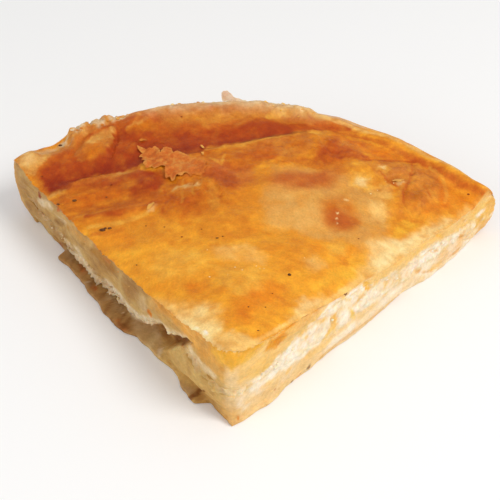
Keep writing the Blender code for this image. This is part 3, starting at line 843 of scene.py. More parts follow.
# Areas of the crust's colour, the broad ones first.
TOP_AREAS = (
    ("amber", 0.6, 8, ((-80, 92), (-62, 98), (-46, 102), (-26, 102), (-8, 118), (10, 124), (22, 122),
        (22, 110), (6, 104), (-4, 96), (-10, 80), (-24, 76), (-36, 84), (-52, 86), (-66, 84))),
    ("honey", 0.8, 10, ((-92, 108), (-70, 100), (-40, 100), (-20, 100), (-14, 92), (-20, 78), (-35, 70),
        (-50, 64), (-62, 76), (-80, 96))),
    ("amber", 0.55, 8, ((-74, 94), (-60, 96), (-40, 97), (-35, 90), (-50, 84), (-62, 84), (-70, 88))),
    ("tan", 1, 4, ((-96, 112), (-94, 120), (-84, 122), (-74, 128), (-60, 138), (-46, 143), (-30, 148),
        (-20, 148), (0, 152), (25, 149), (45, 141), (40, 139), (20, 138), (0, 134), (-20, 128), (-45, 128),
        (-60, 118), (-86, 110))),
    ("burnt", 1, 6, ((-84, 116), (-74, 121), (-70, 128), (-60, 134), (-52, 138), (-44, 139), (-36, 135),
        (-20, 134), (0, 139), (20, 141), (36, 141.5), (48, 140), (40, 137), (20, 133), (0, 126), (-20, 119),
        (-45, 112), (-60, 106), (-84, 99), (-87, 109))),
    ("rust", 1, 5, ((-83, 98), (-86, 108), (-80, 112), (-72, 112), (-64, 118), (-58, 127), (-52, 132),
        (-46, 129), (-38, 129), (-20, 130), (-6, 134), (4, 136), (12, 136.5), (16, 134), (14, 131.5),
        (8, 128.5), (-2, 124.5), (-14, 119.5), (-27, 116), (-38, 113), (-46, 108), (-58, 105.5), (-70, 101),
        (-80, 96))),
    ("dark_rust", 0.85, 5, ((-83, 102), (-76, 106), (-66, 107), (-60, 110), (-54, 114), (-46, 117),
        (-40, 113), (-46, 108), (-58, 105), (-70, 101), (-80, 97))),
    ("dark_rust", 0.5, 4, ((-32, 120), (-16, 123), (-4, 127.5), (8, 132), (6, 128.5), (-4, 124.5),
        (-14, 120), (-28, 116.5))),
    ("haze", 1, 7, ((10, 105), (20, 107), (36, 108), (46, 108), (53, 102), (53, 94), (51, 76), (44, 69),
        (28, 69), (14, 70), (6, 76), (6, 92))),
    ("butter", 0.3, 9, ((8, 92), (25, 95), (28, 80), (22, 70), (8, 72))),
    ("flame", 0.85, 4, ((-30, 108), (-22, 112), (-14, 110), (-6, 106), (-6, 100), (-12, 97), (-22, 98),
        (-30, 99))),
    ("salmon", 0.6, 4, ((-30, 104), (-18, 104), (-8, 108), (0, 106), (2, 96), (-6, 92), (-16, 98),
        (-26, 98))),
    ("amber", 0.8, 4, ((-24, 112), (-14, 119), (0, 123), (4, 120), (4, 108), (-8, 104), (-14, 108))),
    ("amber", 0.6, 5, ((0, 124), (26, 132), (40, 132), (44, 118), (34, 112), (10, 111), (0, 108))),
    ("tan", 0.9, 3, ((0, 125), (8, 127.5), (16, 131), (23, 131), (24, 124), (22, 117), (8, 115), (0, 117))),
    ("orange", 0.85, 4, ((33, 135.5), (45, 134), (56, 130), (66, 127), (62, 124.5), (54, 123), (46, 122),
        (38, 127), (30, 130))),
    ("orange", 0.6, 6, ((66, 127), (78, 121), (92, 113), (88, 104), (78, 98), (70, 92), (66, 94), (72, 104),
        (74, 112), (70, 120))),
    ("tan", 0.9, 4, ((48, 112), (50, 119), (56, 121.5), (63, 124.5), (72, 122), (78, 115), (77, 106),
        (72, 100), (64, 96), (58, 98), (57, 104), (52, 107))),
    ("honey", 0.6, 4, ((54, 80), (56, 92), (62, 96), (70, 98), (68, 90), (60, 80), (54, 74))),
    ("butter", 1, 7, ((42, 52), (46, 70), (50, 76), (57, 76), (63, 81), (70, 88), (78, 95), (99, 118),
        (60, 66), (40, 44))),
    ("cream", 0.9, 6, ((46, 60), (48, 72), (53, 77), (62, 79), (72, 88), (80, 96), (50, 58))),
    ("butter", 0.6, 5, ((17, 24), (22, 33), (30, 38), (36, 42), (30, 32), (20, 22))),
    ("honey", 0.6, 8, ((-45, 62), (-30, 60), (-20, 70), (-30, 78), (-48, 80), (-58, 76))),
    ("straw", 0.55, 8, ((-30, 58), (-14, 56), (-10, 48), (-20, 40), (-34, 50))),
    ("butter", 0.45, 5, ((-10, 58), (0, 61), (9, 56), (8, 50), (-2, 50), (-9, 52))),
    ("straw", 0.5, 4, ((-8, 46), (0, 50), (8, 46), (8, 36), (-4, 36))),
    ("honey", 0.6, 7, ((8, 66), (2, 72), (14, 68), (30, 64), (22, 50), (16, 46), (10, 52))),
    ("orange", 0.65, 8, ((-1, 26), (2, 34), (10, 39), (18, 40), (16, 32), (10, 24), (4, 18), (-2, 18))),
    # At the tip the butter area is pale crust with a painted highlight over it, and the cream area after it
    # is a painted highlight.
    ("butter", 1, 7, ((-26, 32), (-14, 28), (-6, 23), (-4, 14), (-1, 7), (-8, 8), (-16, 17), (-30, 34))),
    ("cream", 0.35, 5, ((-20, 25), (-12, 25), (-7, 18), (-4, 10), (-8, 8), (-14, 14))),
    ("butter", 1, 3, ((0, -3), (-8, 3), (-8, 9), (0, 12), (8, 10), (8, 4))),
    ("rust", 0.7, 3, ((-48, 122), (-42, 124), (-37, 121), (-37, 115), (-43, 115), (-47, 118))),
    ("straw", 0.6, 4, ((-3, 31), (-2, 38), (6, 39), (8, 34), (3, 31))),
    ("honey", 0.7, 5, ((-16, 66), (-14, 78), (2, 78), (4, 68), (-4, 64))),
    ("cream", 0.6, 5, ((20, 27), (24, 36), (31, 39), (30, 34), (24, 27))),
)

# Patches of the crust, from the left corner round to the tip.
TOP_PATCHES = (
    ("haze", 0.95, 3, ((-97, 111), (-95, 120), (-86, 121), (-84, 116), (-86, 111), (-88, 108), (-91, 109))),
    # A painted highlight on the corner tab.
    ("cream", 0.35, 4, ((-94, 113), (-93, 117), (-88, 118), (-87, 113), (-90, 111))),
    ("haze", 0.8, 2.5, ((-92, 118), (-86, 122.5), (-80, 127), (-78.5, 123), (-84, 119), (-88, 116))),
    ("curd", 0.5, 2, ((-90, 119), (-85, 123), (-81, 126), (-82, 122), (-87, 118.5))),
    ("tan", 0.7, 4, ((-82, 118), (-80, 125), (-74, 131), (-66, 134), (-62, 131), (-69, 126), (-73, 120))),
    ("tan", 0.9, 1.6, ((-72, 117), (-69, 122), (-65, 127), (-58, 131.5), (-57.5, 122), (-59, 117),
        (-63, 114), (-70, 113))),
    # A painted highlight on the blister's upper left.
    ("haze", 0.75, 1.4, ((-69, 121), (-65.5, 126.5), (-58.3, 131), (-58, 125), (-61.5, 124.5), (-65, 120))),
    ("rust", 0.7, 1, ((-57.4, 131), (-55.4, 130), (-54.8, 122), (-55.6, 114), (-57.6, 113), (-57, 122))),
    ("orange", 0.5, 3, ((-68, 117), (-64, 120), (-60, 119), (-60, 115), (-66, 113.5))),
    ("amber", 0.8, 3, ((-70, 113), (-68, 117), (-61, 118), (-59, 115), (-63, 112.5))),
    ("amber", 0.85, 1.8, ((-53, 130.5), (-49, 134.5), (-45, 137.5), (-41, 134), (-40, 130), (-46, 128.5),
        (-51, 129))),
    ("haze", 0.45, 1.6, ((-53, 131), (-49, 134.5), (-45, 137), (-47, 133.5))),
    # The next two: a painted highlight along the rim's crest.
    ("haze", 0.8, 2.2, ((-47, 142), (-42, 145.5), (-33, 147.5), (-30, 146), (-36, 143.5), (-42, 141.5))),
    ("cream", 0.6, 1.8, ((-41, 143), (-37, 145), (-33, 144.5), (-36, 142.5))),
    ("burnt", 0.6, 1.6, ((-33, 146), (-31, 147.5), (-28, 147), (-30, 145))),
    ("straw", 0.7, 2, ((-28, 146), (-26, 148.5), (-19, 149), (-18, 147), (-22, 145))),
    ("burnt", 0.8, 1.2, ((-21.5, 147.5), (-19.5, 147.5), (-18.8, 144), (-20, 143.5))),
    ("tan", 0.6, 1.5, ((-48, 124), (-46, 126), (-43, 125), (-45, 123.5))),
    ("clay", 0.9, 2.5, ((-73, 98.5), (-66, 101.5), (-60, 104.5), (-54, 106.5), (-44, 107), (-42, 103),
        (-48, 98), (-58, 96.5), (-68, 97))),
    ("tan", 0.75, 1.8, ((-68, 99.5), (-60, 103), (-55, 105.5), (-46, 106), (-50, 103), (-58, 101),
        (-66, 98.5))),
    # A painted highlight on the ridge strip.
    ("haze", 0.6, 1.6, ((-56, 104), (-52, 106), (-45, 106), (-48, 104.5))),
    ("rust", 0.8, 3, ((-50, 104), (-42, 105), (-35, 103), (-32, 98), (-34, 92), (-40, 94), (-47, 99))),
    ("rust", 0.7, 2.5, ((-47, 94), (-46, 90), (-40, 88.5), (-34, 91), (-36, 97), (-40, 99), (-44, 96))),
    ("straw", 0.7, 2.5, ((-82, 96), (-76, 98), (-70, 95), (-76, 92), (-80, 93))),
    # A painted highlight at the crust's edge by the left cut.
    ("butter", 0.7, 1.5, ((-81, 95.5), (-77, 97), (-74, 95), (-78, 94))),
    ("orange", 0.5, 3, ((-74, 92), (-66, 95), (-54, 95), (-46, 92), (-56, 89), (-68, 88))),
    # Painted shadow on the far side of the ridge at the left.
    ("burnt", 0.45, 2, ((-66, 84), (-56, 86), (-46, 86), (-40, 84), (-50, 82), (-62, 82))),
    ("burnt", 0.6, 3, ((-36, 90), (-28, 88), (-28, 78), (-33, 78), (-35, 84))),
    # A painted highlight at the ridge's right end.
    ("cream", 0.7, 1.6, ((-39, 80), (-38, 82.5), (-35.5, 83.5), (-35.5, 81))),
    ("burnt", 0.5, 2.5, ((-24, 86), (-17, 86), (-17, 77), (-24, 77))),
    ("amber", 0.5, 4, ((-33, 97), (-20, 97), (-14, 90), (-16, 78), (-24, 76), (-33, 82))),
    ("amber", 0.6, 2, ((-30, 88), (-24, 88), (-18, 86), (-18, 80), (-26, 79), (-31, 82))),
    ("burnt", 0.45, 2, ((-28, 86), (-22, 86), (-22, 81), (-28, 81))),
    ("haze", 0.8, 2.5, ((-30, 91), (-26, 94.5), (-18, 93), (-20, 90.5), (-24, 90))),
    ("cream", 0.6, 2, ((-29, 91.5), (-25, 94), (-19.5, 92.6), (-25, 91))),
    ("clay", 0.8, 2.5, ((-19, 100), (-13, 104), (-8, 103), (-5, 98), (-7, 92), (-11, 93), (-13, 97),
        (-18, 97))),
    ("burnt", 0.5, 3, ((-10, 106), (-4, 118), (2, 118), (4, 108), (-4, 104))),
    ("tan", 0.4, 2, ((-10, 116), (-2, 121), (2, 118), (-7, 113))),
    ("rust", 0.7, 3, ((-30, 117), (-22, 118.5), (-14, 121), (-12, 118), (-20, 115), (-29, 112.5))),
    ("dark_rust", 0.5, 2.5, ((-42, 120), (-30, 119), (-20, 119.5), (-20, 115), (-28, 114), (-38, 116.5))),
    ("orange", 0.5, 2.5, ((-25, 77), (-24, 71), (-21, 72), (-21, 78))),
    ("straw", 0.5, 2, ((-15, 96), (-12, 90), (-11, 82), (-13, 80), (-16, 88))),
    ("amber", 0.7, 2, ((14, 120), (14, 127), (17, 129), (21, 128), (21, 120))),
    ("burnt", 0.85, 3, ((0, 112), (10, 112), (12, 118), (8, 124), (2, 121))),
    ("burnt", 0.9, 5, ((25, 116), (26, 125), (30, 129), (37, 128), (43, 124.5), (49, 121), (44, 116.5),
        (38, 117), (34, 113), (29, 113))),
    ("rust", 0.6, 4, ((27, 118), (29, 125), (33, 125), (38, 122), (36, 117), (30, 114))),
    ("clay", 0.7, 2.5, ((33, 121), (35, 126), (40, 123), (46, 121), (42, 119))),
    ("tan", 0.6, 2, ((36, 130), (34, 126), (38, 125), (44, 124), (46, 126), (42, 129))),
    ("straw", 0.6, 1.6, ((22, 133), (25, 136), (30, 137), (28, 134), (25, 131))),
    ("burnt", 0.5, 4, ((10, 112), (20, 114), (32, 115), (36, 112), (28, 111))),
    ("gold", 0.9, 2.5, ((24, 134), (30, 137), (38, 139), (50, 138.5), (60, 134.5), (72, 129), (84, 123),
        (94, 117.5), (97, 114), (88, 117), (76, 123), (66, 128), (56, 131.5), (44, 135), (34, 135.5))),
    ("straw", 0.8, 2.5, ((39, 102), (41, 109.5), (46, 109.5), (50, 104), (46, 101))),
    ("cream", 0.6, 2.5, ((41, 103), (42, 108), (46, 107.5), (46, 104))),
    ("butter", 0.75, 3.5, ((47, 86), (47, 95), (51, 97), (55, 91), (52, 85))),
    ("salmon", 0.5, 2.5, ((54, 112), (56, 118), (62, 120), (62, 112))),
    ("amber", 0.7, 2.5, ((60, 99), (61, 106), (68, 108), (70, 101), (65, 97))),
    ("olive", 0.3, 2.5, ((63, 101), (63, 105), (67, 106), (68, 102))),
    ("orange", 0.6, 3, ((72, 101), (74, 110), (75, 118), (79, 112), (79, 102))),
    ("straw", 0.5, 2, ((50, 112), (50.5, 117), (53, 118.5), (54.5, 116), (53, 112))),
    # The next two: painted highlights on the crumpled fold.
    ("cream", 0.5, 1.6, ((50.5, 115), (51, 117), (52.5, 117.5), (52.5, 115))),
    ("cream", 0.6, 1.2, ((56, 107.5), (57.5, 109.5), (60.5, 109), (58.5, 107))),
    ("haze", 0.7, 2, ((50, 99), (53, 107), (56, 104), (55, 97))),
    ("amber", 0.5, 2, ((57, 95), (61, 99), (66, 100), (65, 96), (60, 93.5))),
    ("honey", 0.7, 3, ((68, 98), (74, 100), (82, 102), (86, 106), (80, 98), (72, 94))),
    ("sun", 0.7, 2.5, ((54, 79), (57, 86), (60, 90), (65, 89), (62, 83), (57, 78))),
    ("orange", 0.5, 5, ((-52, 68), (-45, 62), (-40, 64), (-42, 70), (-48, 73))),
    ("orange", 0.5, 3, ((-20, 39), (-12, 39), (-10, 34), (-16, 31))),
    ("orange", 0.4, 3, ((26, 66), (31, 64), (29, 59), (24, 61))),
    ("orange", 0.45, 3, ((34, 66), (39, 66), (39, 57), (35, 57))),
    ("butter", 0.5, 4, ((21, 54), (26, 57.5), (30, 54), (27, 49.5), (22, 50))),
    ("sun", 0.7, 5, ((28, 42), (38, 50), (45, 58), (46, 66), (42, 62), (32, 52))),
    ("straw", 0.6, 3, ((30, 70), (36, 70), (38, 64), (32, 62))),
    # More painted shadow on the far side of the ridge at the left.
    ("burnt", 0.4, 3, ((-50, 84), (-46, 89), (-36, 88.5), (-33, 82), (-40, 80.5))),
    ("amber", 0.4, 6, ((-24, 62), (-20, 73), (-4, 74), (5, 70), (1, 64), (-10, 62))),
)

# Browned spots where the crust lies over the filling, cream crumbs, and white painted highlights near the
# tip: centre, half lengths, turn, strength, softness.
TOP_SPOTS = (
    ("burnt", 21, 102, 14, 6.5, 14, 0.5, 1.4), ("clay", 20, 100.6, 12, 5.2, 6, 0.8, 1.2),
    ("clay", 31, 106.5, 8.5, 3.6, 38, 0.7, 1.3), ("amber", 35, 84, 7.5, 9, 0, 0.9, 0.8),
    ("clay", 35, 81, 5.8, 5.4, 0, 0.95, 1.1), ("burnt", 15, 100, 6, 2.5, 0, 0.3, 1),
    ("cream", 34.3, 84, 0.5, 0.4, 0, 0.9, 0.6), ("cream", 34.2, 81.6, 0.5, 0.5, 0, 0.8, 0.6),
    ("cream", 34.4, 79.2, 0.5, 0.4, 0, 0.8, 0.6), ("cream", 38, 92.2, 1, 0.7, 0, 0.7, 0.7),
    # Painted highlights near the tip.
    ("white", -9.4, 13.2, 1.5, 0.8, -52, 0.8, 0.8), ("white", -12.6, 16.4, 0.9, 0.5, -52, 0.6, 0.8),
)

# Bands and creases of the crust, with painted highlights along the rim and at the tip's edge, and painted
# shadow behind the ridge at the left.
TOP_LINES = (
    ("umber", 0.4, 1, ((-8, 121.5, 0.6), (4, 126.2, 0.8), (10, 129, 0.8), (16, 131.5, 0.7),
        (21, 132.6, 0.6))),
    ("straw", 0.55, 0.8, ((-19, 116, 0.8), (-8, 119.5, 1), (0, 123, 1), (8, 126.5, 0.9), (14, 129.5, 0.9))),
    # The next two: pale lumps on the rim's crest, with a painted highlight over them.
    ("haze", 0.9, 1, ((-18, 147, 1.6), (-8, 148.5, 3), (6, 148.5, 4.6), (18, 147, 4), (25, 145, 2.4),
        (30, 143.5, 1.2))),
    ("cream", 0.8, 1, ((-18, 148.5, 0.8), (-8, 150, 1.6), (6, 150, 2.6), (18, 148.5, 2.2),
        (25, 146.5, 1.2))),
    ("straw", 0.6, 0.7, ((5, 141, 1.6), (10, 144, 2), (18, 145, 1.8), (24, 144.5, 1.4))),
    ("straw", 0.6, 0.6, ((40, 139.5, 0.7), (50, 138, 0.9), (60, 134, 1), (72, 128.5, 1), (84, 122, 1),
        (94, 116.5, 1))),
    ("rust", 0.7, 1.3, ((0, 132, 3.2), (10, 134.8, 2.6), (20, 137, 1.9), (30, 138.6, 1.2),
        (38, 139.4, 0.8))),
    ("burnt", 0.75, 1.2, ((18, 137.5, 1.6), (30, 138.2, 1.2), (44, 136, 1), (56, 131.5, 1.2),
        (68, 126.4, 1.5), (77, 121.2, 1.7), (86, 115.6, 1.7), (92.5, 111.8, 1.4))),
    ("burnt", 0.7, 0.9, ((66, 127, 0.6), (78, 120.4, 0.8), (86, 115.2, 0.9), (92, 111.6, 0.7))),
    ("burnt", 0.8, 0.6, ((45, 119.5, 0.7), (54, 121.8, 0.9), (60, 124.3, 0.9), (66, 126.3, 0.9))),
    ("burnt", 0.6, 0.8, ((64.8, 125, 0.4), (64.4, 118, 0.5), (62.5, 110, 0.5), (60, 104, 0.6),
        (60, 98, 0.5))),
    ("burnt", 0.6, 0.8, ((51, 112.5, 0.45), (54, 108.3, 0.5), (57.5, 106.2, 0.5))),
    ("straw", 0.4, 0.9, ((72, 123.5, 0.7), (76.5, 118.5, 0.9), (78, 111, 0.9), (77, 104, 0.7))),
    ("burnt", 0.5, 0.6, ((69, 110, 0.5), (71, 104, 0.5))),
    ("straw", 0.5, 0.6, ((-17, 111, 0.6), (-12, 107, 0.7), (-11, 113, 0.6))),
    ("straw", 0.5, 0.6, ((-26, 96, 0.5), (-25.5, 89, 0.6), (-25, 84, 0.5))),
    ("straw", 0.5, 0.6, ((-22, 92, 0.5), (-21, 87, 0.6))),
    ("burnt", 0.5, 0.6, ((-33, 92, 0.6), (-31, 86, 0.7), (-32, 80, 0.5))),
    ("burnt", 0.4, 0.6, ((-78, 93.5, 0.5), (-66, 95.5, 0.7), (-52, 95.5, 0.8), (-46, 96.5, 0.8))),
    # Painted shadow on the far side of the ridge at the left.
    ("burnt", 0.8, 1, ((-62, 80.8, 0.9), (-53, 80.8, 1.4), (-44, 81.4, 1.8), (-37, 85.4, 2.2))),
    ("straw", 0.8, 1, ((-60, 75.4, 0.9), (-50, 76.2, 1.2), (-43, 77.4, 1), (-38, 80, 0.9))),
    ("burnt", 0.6, 1, ((-58, 71.5, 0.8), (-52, 71.8, 1.2), (-46, 73, 0.9))),
    # The next four: painted highlights along the rim's crest and outline.
    ("curd", 0.6, 1, ((-22, 147.9, 1), (-8, 149.2, 1.2), (6, 149.4, 1.3), (20, 148.1, 1.3),
        (34, 145.5, 1.2), (46, 142.2, 0.9))),
    ("butter", 0.6, 1, ((46, 142.2, 1), (58, 137.8, 1.1), (68, 133.2, 0.9))),
    ("cream", 0.45, 1, ((-22, 146.5, 0.9), (-12, 147.4, 0.9))),
    ("butter", 0.7, 1, ((18, 145.5, 1), (28, 144.3, 1.1), (36, 142.3, 1), (48, 138.6, 0.9), (60, 134.8, 1),
        (70, 130.2, 0.9), (80, 125.2, 0.8), (89, 120, 0.8))),
    # A painted highlight along the crust's edge at the tip.
    ("cream", 0.5, 0.8, ((-3, 4, 0.7), (-12, 14.3, 1), (-20, 24, 0.8))),
    ("butter", 0.7, 0.8, ((2, 3.5, 0.5), (12, 15, 0.7), (26, 31.5, 0.9), (44, 53, 1.4))),
)


def crust_colours(x, y):
    colours = flat_paint("gold", len(x))
    colours = paint_areas(colours, x, y, TOP_AREAS, 600)
    colours = paint_areas(colours, x, y, TOP_PATCHES, 620)
    colours = paint_ovals(colours, x, y, TOP_SPOTS, 650, 0.35)
    colours = paint_lines(colours, x, y, TOP_LINES, 660, 0.9)
    torn = smooth(1.6 - line_distance(*wander(x, y, 1.6, 670, 4.0), TORN_RIM))
    flaky = fractal(x, y, 3.4, 672, 4)
    colours = tint(colours, "haze", 0.8 * torn)
    colours = tint(colours, "curd", 0.85 * torn * smooth(2.6 * flaky + 0.6))
    colours = tint(colours, "clay", 0.55 * torn * smooth(-2.6 * flaky - 0.5))
    side = np.degrees(np.arctan2(x, y))
    # A painted highlight along the rim's crest, in curd colour.
    crest_highlight = bump(np.hypot(x, y), 149.0, 4.2) * rising(side, -22.0, 8.0) * falling(side, 13.0, 7.0)
    colours = tint(colours, "curd", 0.75 * crest_highlight * smooth(0.9 + 0.8 * flaky))
    return colours * browning(x, y)


# How strongly uneven baking changes red, green and blue, on the crust and at the two cuts.
CRUST_BROWNING = np.array((0.18, 0.38, 0.62))
LEFT_BROWNING = np.array((0.18, 0.30, 0.45))
RIGHT_BROWNING = np.array((0.02, 0.07, 0.18))


def browning(x, y):
    """Uneven baking: where it is stronger, less green and blue comes back."""
    plain = 1.0 - 0.6 * tautness(x, y)
    rough = rising(y, 74.0, 14.0)
    px, py = wander(x, y, 3.0, 690)
    paler = 0.6 * fractal(px, py * 1.4, 9.0, 680, 4)
    paler = paler + (0.7 + 0.5 * rough) * fractal(px, py * 1.5, 2.8, 685, 4)
    streaked = smooth((1.3 - oval_distance(x, y, STREAKED)) / 0.5) + 0.45 * rough * smooth(-x / 20.0)
    paler = paler + 0.75 * streaked * fractal(x * 0.3, y - 0.15 * x, 1.4, 695, 3)
    back = rising(y, 72.0, 12.0) * falling(x, 20.0, 30.0) * falling(y, 106.0, 10.0)
    deeper = 0.75 * back + 0.25 * rising(y, 66.0, 14.0)
    return np.exp((paler * plain - deeper)[:, None] * CRUST_BROWNING)


# Paint on a cut is laid by the distance from the tip and the height, both shifted by this much for each
# millimetre that the surface stands out, so that folds and ledges are painted across and not in stripes.
LEFT_LEAN = (1.36, -1.38)
RIGHT_LEAN = (1.05, -1.18)
# The right cut faces the main lamp, so its paint is held back a little in red, green and blue.
RIGHT_BALANCE = np.array((0.99, 0.99, 0.97))
# The left cut is lighter towards the tip, by this share of red, green and blue.
LEFT_TIP_LIGHT = np.array((0.10, 0.09, 0.0))
# How wide the colours of the cuts and the rim blend at a corner, and how much each one counts.
CORNER_BLEND = 3.0
CORNER_WEIGHTS = (1.0, 1.0, 0.25)
# How far down a cut the crust's own colour reaches.
CRUST_EDGE = 1.35

# Areas, patches and lines of the cuts' colours, in shifted distances from the tip and heights.
LEFT_AREAS = (
    ("wheat", 0.9, 3, ((-4, 37), (8, 34), (20, 32), (32, 30), (44, 28), (51, 26), (44, 22.5), (30, 24.5),
        (22, 21.5), (8, 23.5), (0, 22))),
    ("corn", 1, 4, ((-8, 39), (3, 37), (10, 33.5), (11, 28), (7, 26), (-2, 25.5), (-8, 27))),
    ("ochre", 0.3, 4, ((-8, 39), (3, 37), (8, 33.5), (7, 28), (0, 27), (-8, 28))),
    ("wheat", 0.5, 3, ((2, 21), (12, 24), (22, 22), (20, 18.5), (10, 18.5), (3, 19))),
    ("shade", 0.85, 3, ((50, 25), (56, 27), (62, 25.5), (68, 22), (70, 17), (67, 13), (63, 15), (60, 20),
        (54, 22.5))),
    ("shade", 0.95, 3, ((72, 22), (78, 23.5), (88, 22), (94, 18), (88, 15), (84, 14), (78, 16),
        (72, 18.5))),
    ("olive", 0.6, 3, ((73, 22), (80, 23.5), (90, 22), (92, 18), (84, 17), (75, 18.5))),
    ("shade", 0.7, 4, ((84, 13), (90, 15), (98, 15), (96, 11), (92, 9), (86, 8))),
    ("wheat", 0.6, 4, ((92, 22), (104, 22), (114, 21), (110, 17), (100, 18), (94, 19))),
    ("curd", 0.95, 1.6, ((8, 18.5), (12, 19), (16, 18.5), (22, 19.5), (26, 23.5), (33, 20.5), (38, 18),
        (43, 18), (50, 14.5), (58, 10), (66, 9.5), (72, 11), (82, 11), (84, 8), (80, 7.5), (70, 6.5),
        (66, 4.5), (62, 4), (57, 6), (50, 10), (46, 13.5), (43, 15.8), (41, 15), (39.5, 12.5), (37, 14.5),
        (33, 17.5), (26, 21.4), (25, 17), (24, 14), (21, 13.2), (18, 15.5), (15, 15), (12, 15.8),
        (10, 15.5))),
    ("curd", 0.7, 2, ((86, 6.5), (92, 7), (97, 9), (103, 12.5), (107, 11), (104, 8.5), (99, 6), (95, 4.5),
        (88, 4))),
    ("curd", 0.85, 1.6, ((121, 20.5), (125, 22), (129, 20.5), (134, 18), (135, 15.5), (131, 15), (127, 17),
        (123, 18.5))),
    ("curd", 0.6, 1.6, ((111, 20), (116, 19.5), (120, 18.5), (116, 17.6), (112, 18))),
    ("mushroom", 0.5, 5, ((118, 14), (126, 14), (136, 12), (146, 9), (148, 4), (136, 4.5), (122, 5),
        (116, 8))),
    ("shade", 0.75, 6, ((132, 22), (142, 24), (150, 20), (150, 10), (146, 3), (136, 8), (134, 15))),
    ("shade", 0.8, 2.4, ((-2, 3), (6, 5.5), (13, 6), (20, 3.4), (28, -0.6), (34, -3), (30, -8), (20, -10),
        (10, -1), (0, 0))),
    ("mushroom", 0.8, 1.6, ((20.5, 2.5), (27, -0.4), (33, -2.6), (31, -5.5), (26, -4.5), (22, -1))),
    ("wheat", 0.4, 3, ((-4, -1), (-4, 11), (3, 11), (6, 8), (6, -1))),
    ("pale", 0.7, 3, ((-4, 14), (-4, 27.5), (3, 27), (4, 22), (2.5, 17), (1, 13))),
    ("curd", 0.4, 3, ((54, 22), (57, 20), (58, 15), (55, 12), (52, 17))),
    ("wheat", 0.4, 4, ((1, 27), (30, 28), (52, 25), (50, 19.5), (30, 22), (10, 20), (1, 20))),
    ("bark", 0.8, 2, ((51, 26), (55, 27.5), (60, 26.5), (57, 23), (52, 22.5))),
    ("bark", 0.8, 3, ((58, 20), (61, 23), (67, 20), (67, 14), (64, 14), (60.5, 16))),
    # Painted shade in the hollow under the overhang: bark over it, and umber where it is darkest, under its
    # upper edge and under the tooth at 41 mm. The taupe and khaki areas among these are painted light on the
    # hollow's floor, which offsets its shade there.
    ("bark", 1, 2, ((25.5, 21.6), (33, 18), (37, 15), (39.5, 13), (41, 15.4), (43, 16.3), (46, 14),
        (50, 10.5), (51, 8.5), (46, 8), (42, 8.5), (38, 8.5), (33, 13), (28, 17))),
    ("taupe", 1, 3, ((48, 11), (57, 7), (62, 4), (65, 0), (61, -3), (48, -2), (43, 3), (45, 8))),
    ("khaki", 0.45, 3, ((48, 7), (56, 4), (62, 2), (61, -3), (48, -2), (45, 3))),
    ("umber", 0.9, 1.4, ((25.5, 21.8), (29, 20), (33, 18), (37, 14.6), (35, 12.6), (31, 14.5), (27, 18.5))),
    ("umber", 0.55, 2, ((38, 12), (41, 15), (43, 16), (45, 13), (43, 10), (39, 9.5))),
    ("khaki", 0.8, 1.6, ((39, 8.5), (41, 7), (45, 2), (44, 0), (38, 2), (36, 6))),
    # Below the recess: browned bottom sheets, with painted shade in the recess above them and in the gaps
    # between them.
    ("bark", 1, 2.5, ((56, 6.3), (60, 4.2), (66, 4.8), (70, 6.4), (76, 7), (80, 8), (84, 6), (88, 3.8),
        (94, 4.4), (100, 6), (106, 7), (112, 7.2), (117, 5), (123, 5), (126, -8), (110, -12), (84, -16),
        (64, -14), (57, -5), (63, 0), (60, 3))),
)
LEFT_PATCHES = (
    ("khaki", 22, 8, 16, 6, -5, 0.6, 0.7), ("amber", 50.6, 15.8, 1.5, 1.7, -20, 1, 0.4),
    ("shade", 112, 13, 6, 2, -20, 0.5, 0.9), ("umber", 117.5, 15.8, 4.5, 1.3, -22, 0.6, 0.8),
    ("burnt", 85, 24, 4, 1.4, -15, 0.5, 0.8), ("clay", 80, 21.5, 3, 1.2, -20, 0.4, 0.8),
    ("burnt", 116, 23.4, 3.4, 1, -38, 0.85, 0.5), ("dark_rust", 132, 20.6, 1, 1.4, 0, 0.95, 0.5),
    ("shade", 52, 24, 2.5, 1.4, -35, 0.5, 0.8), ("shade", 36, 21.5, 6, 1, -15, 0.4, 0.9),
    # The umber patches in this and the next two lines: browned bottom sheets, partly painted shade in the
    # gaps between them.
    ("umber", 93, 0.5, 4.5, 2.2, -15, 0.85, 0.8), ("umber", 102, 3.5, 4, 1.8, -10, 0.6, 0.8),
    ("umber", 84, 1, 3.5, 1.2, -35, 0.6, 0.8), ("clay", 71, -4, 4.5, 1.6, -12, 0.65, 0.8),
    ("umber", 68, -2.5, 5.5, 1, -20, 0.8, 0.7), ("umber", 73, -7, 5, 1.2, -15, 0.7, 0.8),
    ("dark_rust", 118.5, 4, 2.5, 1.2, -30, 0.4, 0.8), ("mushroom", 112, 2.5, 4, 3, 0, 0.9, 0.8),
    ("taupe", 79, 3.5, 4.5, 2.2, -30, 0.7, 0.8), ("clay", 101, 2.5, 3.5, 2, -20, 0.5, 0.8),
    ("taupe", 60.5, 2, 3, 1.8, -35, 0.8, 0.8), ("clay", 91, 0, 3, 1.2, -30, 0.4, 0.8),
    ("curd", 70, 2, 1.6, 0.6, -45, 0.6, 0.6), ("curd", 97, -1, 2.2, 0.5, -45, 0.5, 0.6),
    ("curd", 44.5, 1.5, 0.9, 2.6, 20, 0.7, 0.6), ("olive", 38.5, 1, 1.4, 0.7, 0, 0.5, 0.8),
    ("mushroom", 74, 2, 5, 2, -30, 0.6, 0.8), ("mushroom", 96, -2, 3, 1.4, -40, 0.6, 0.8),
)
LEFT_LINES = (
    ("umber", 1, 0.8, ((16, 5.4, 0.3), (19, 2.6, 0.8), (21, 0, 1), (24.5, -4.5, 0.6), (28, -8, 0.6))),
    # The next two umber lines: browned sheet along the recess's lower edge, partly painted shade under the
    # overhang.
    ("umber", 0.5, 0.8, ((78, 9, 0.5), (84, 7.2, 0.7), (88, 4.6, 0.7), (94, 5, 0.5))),
    ("umber", 0.6, 0.8, ((106, 7.6, 0.5), (112, 7.4, 0.8), (117, 5.2, 0.5))),
)
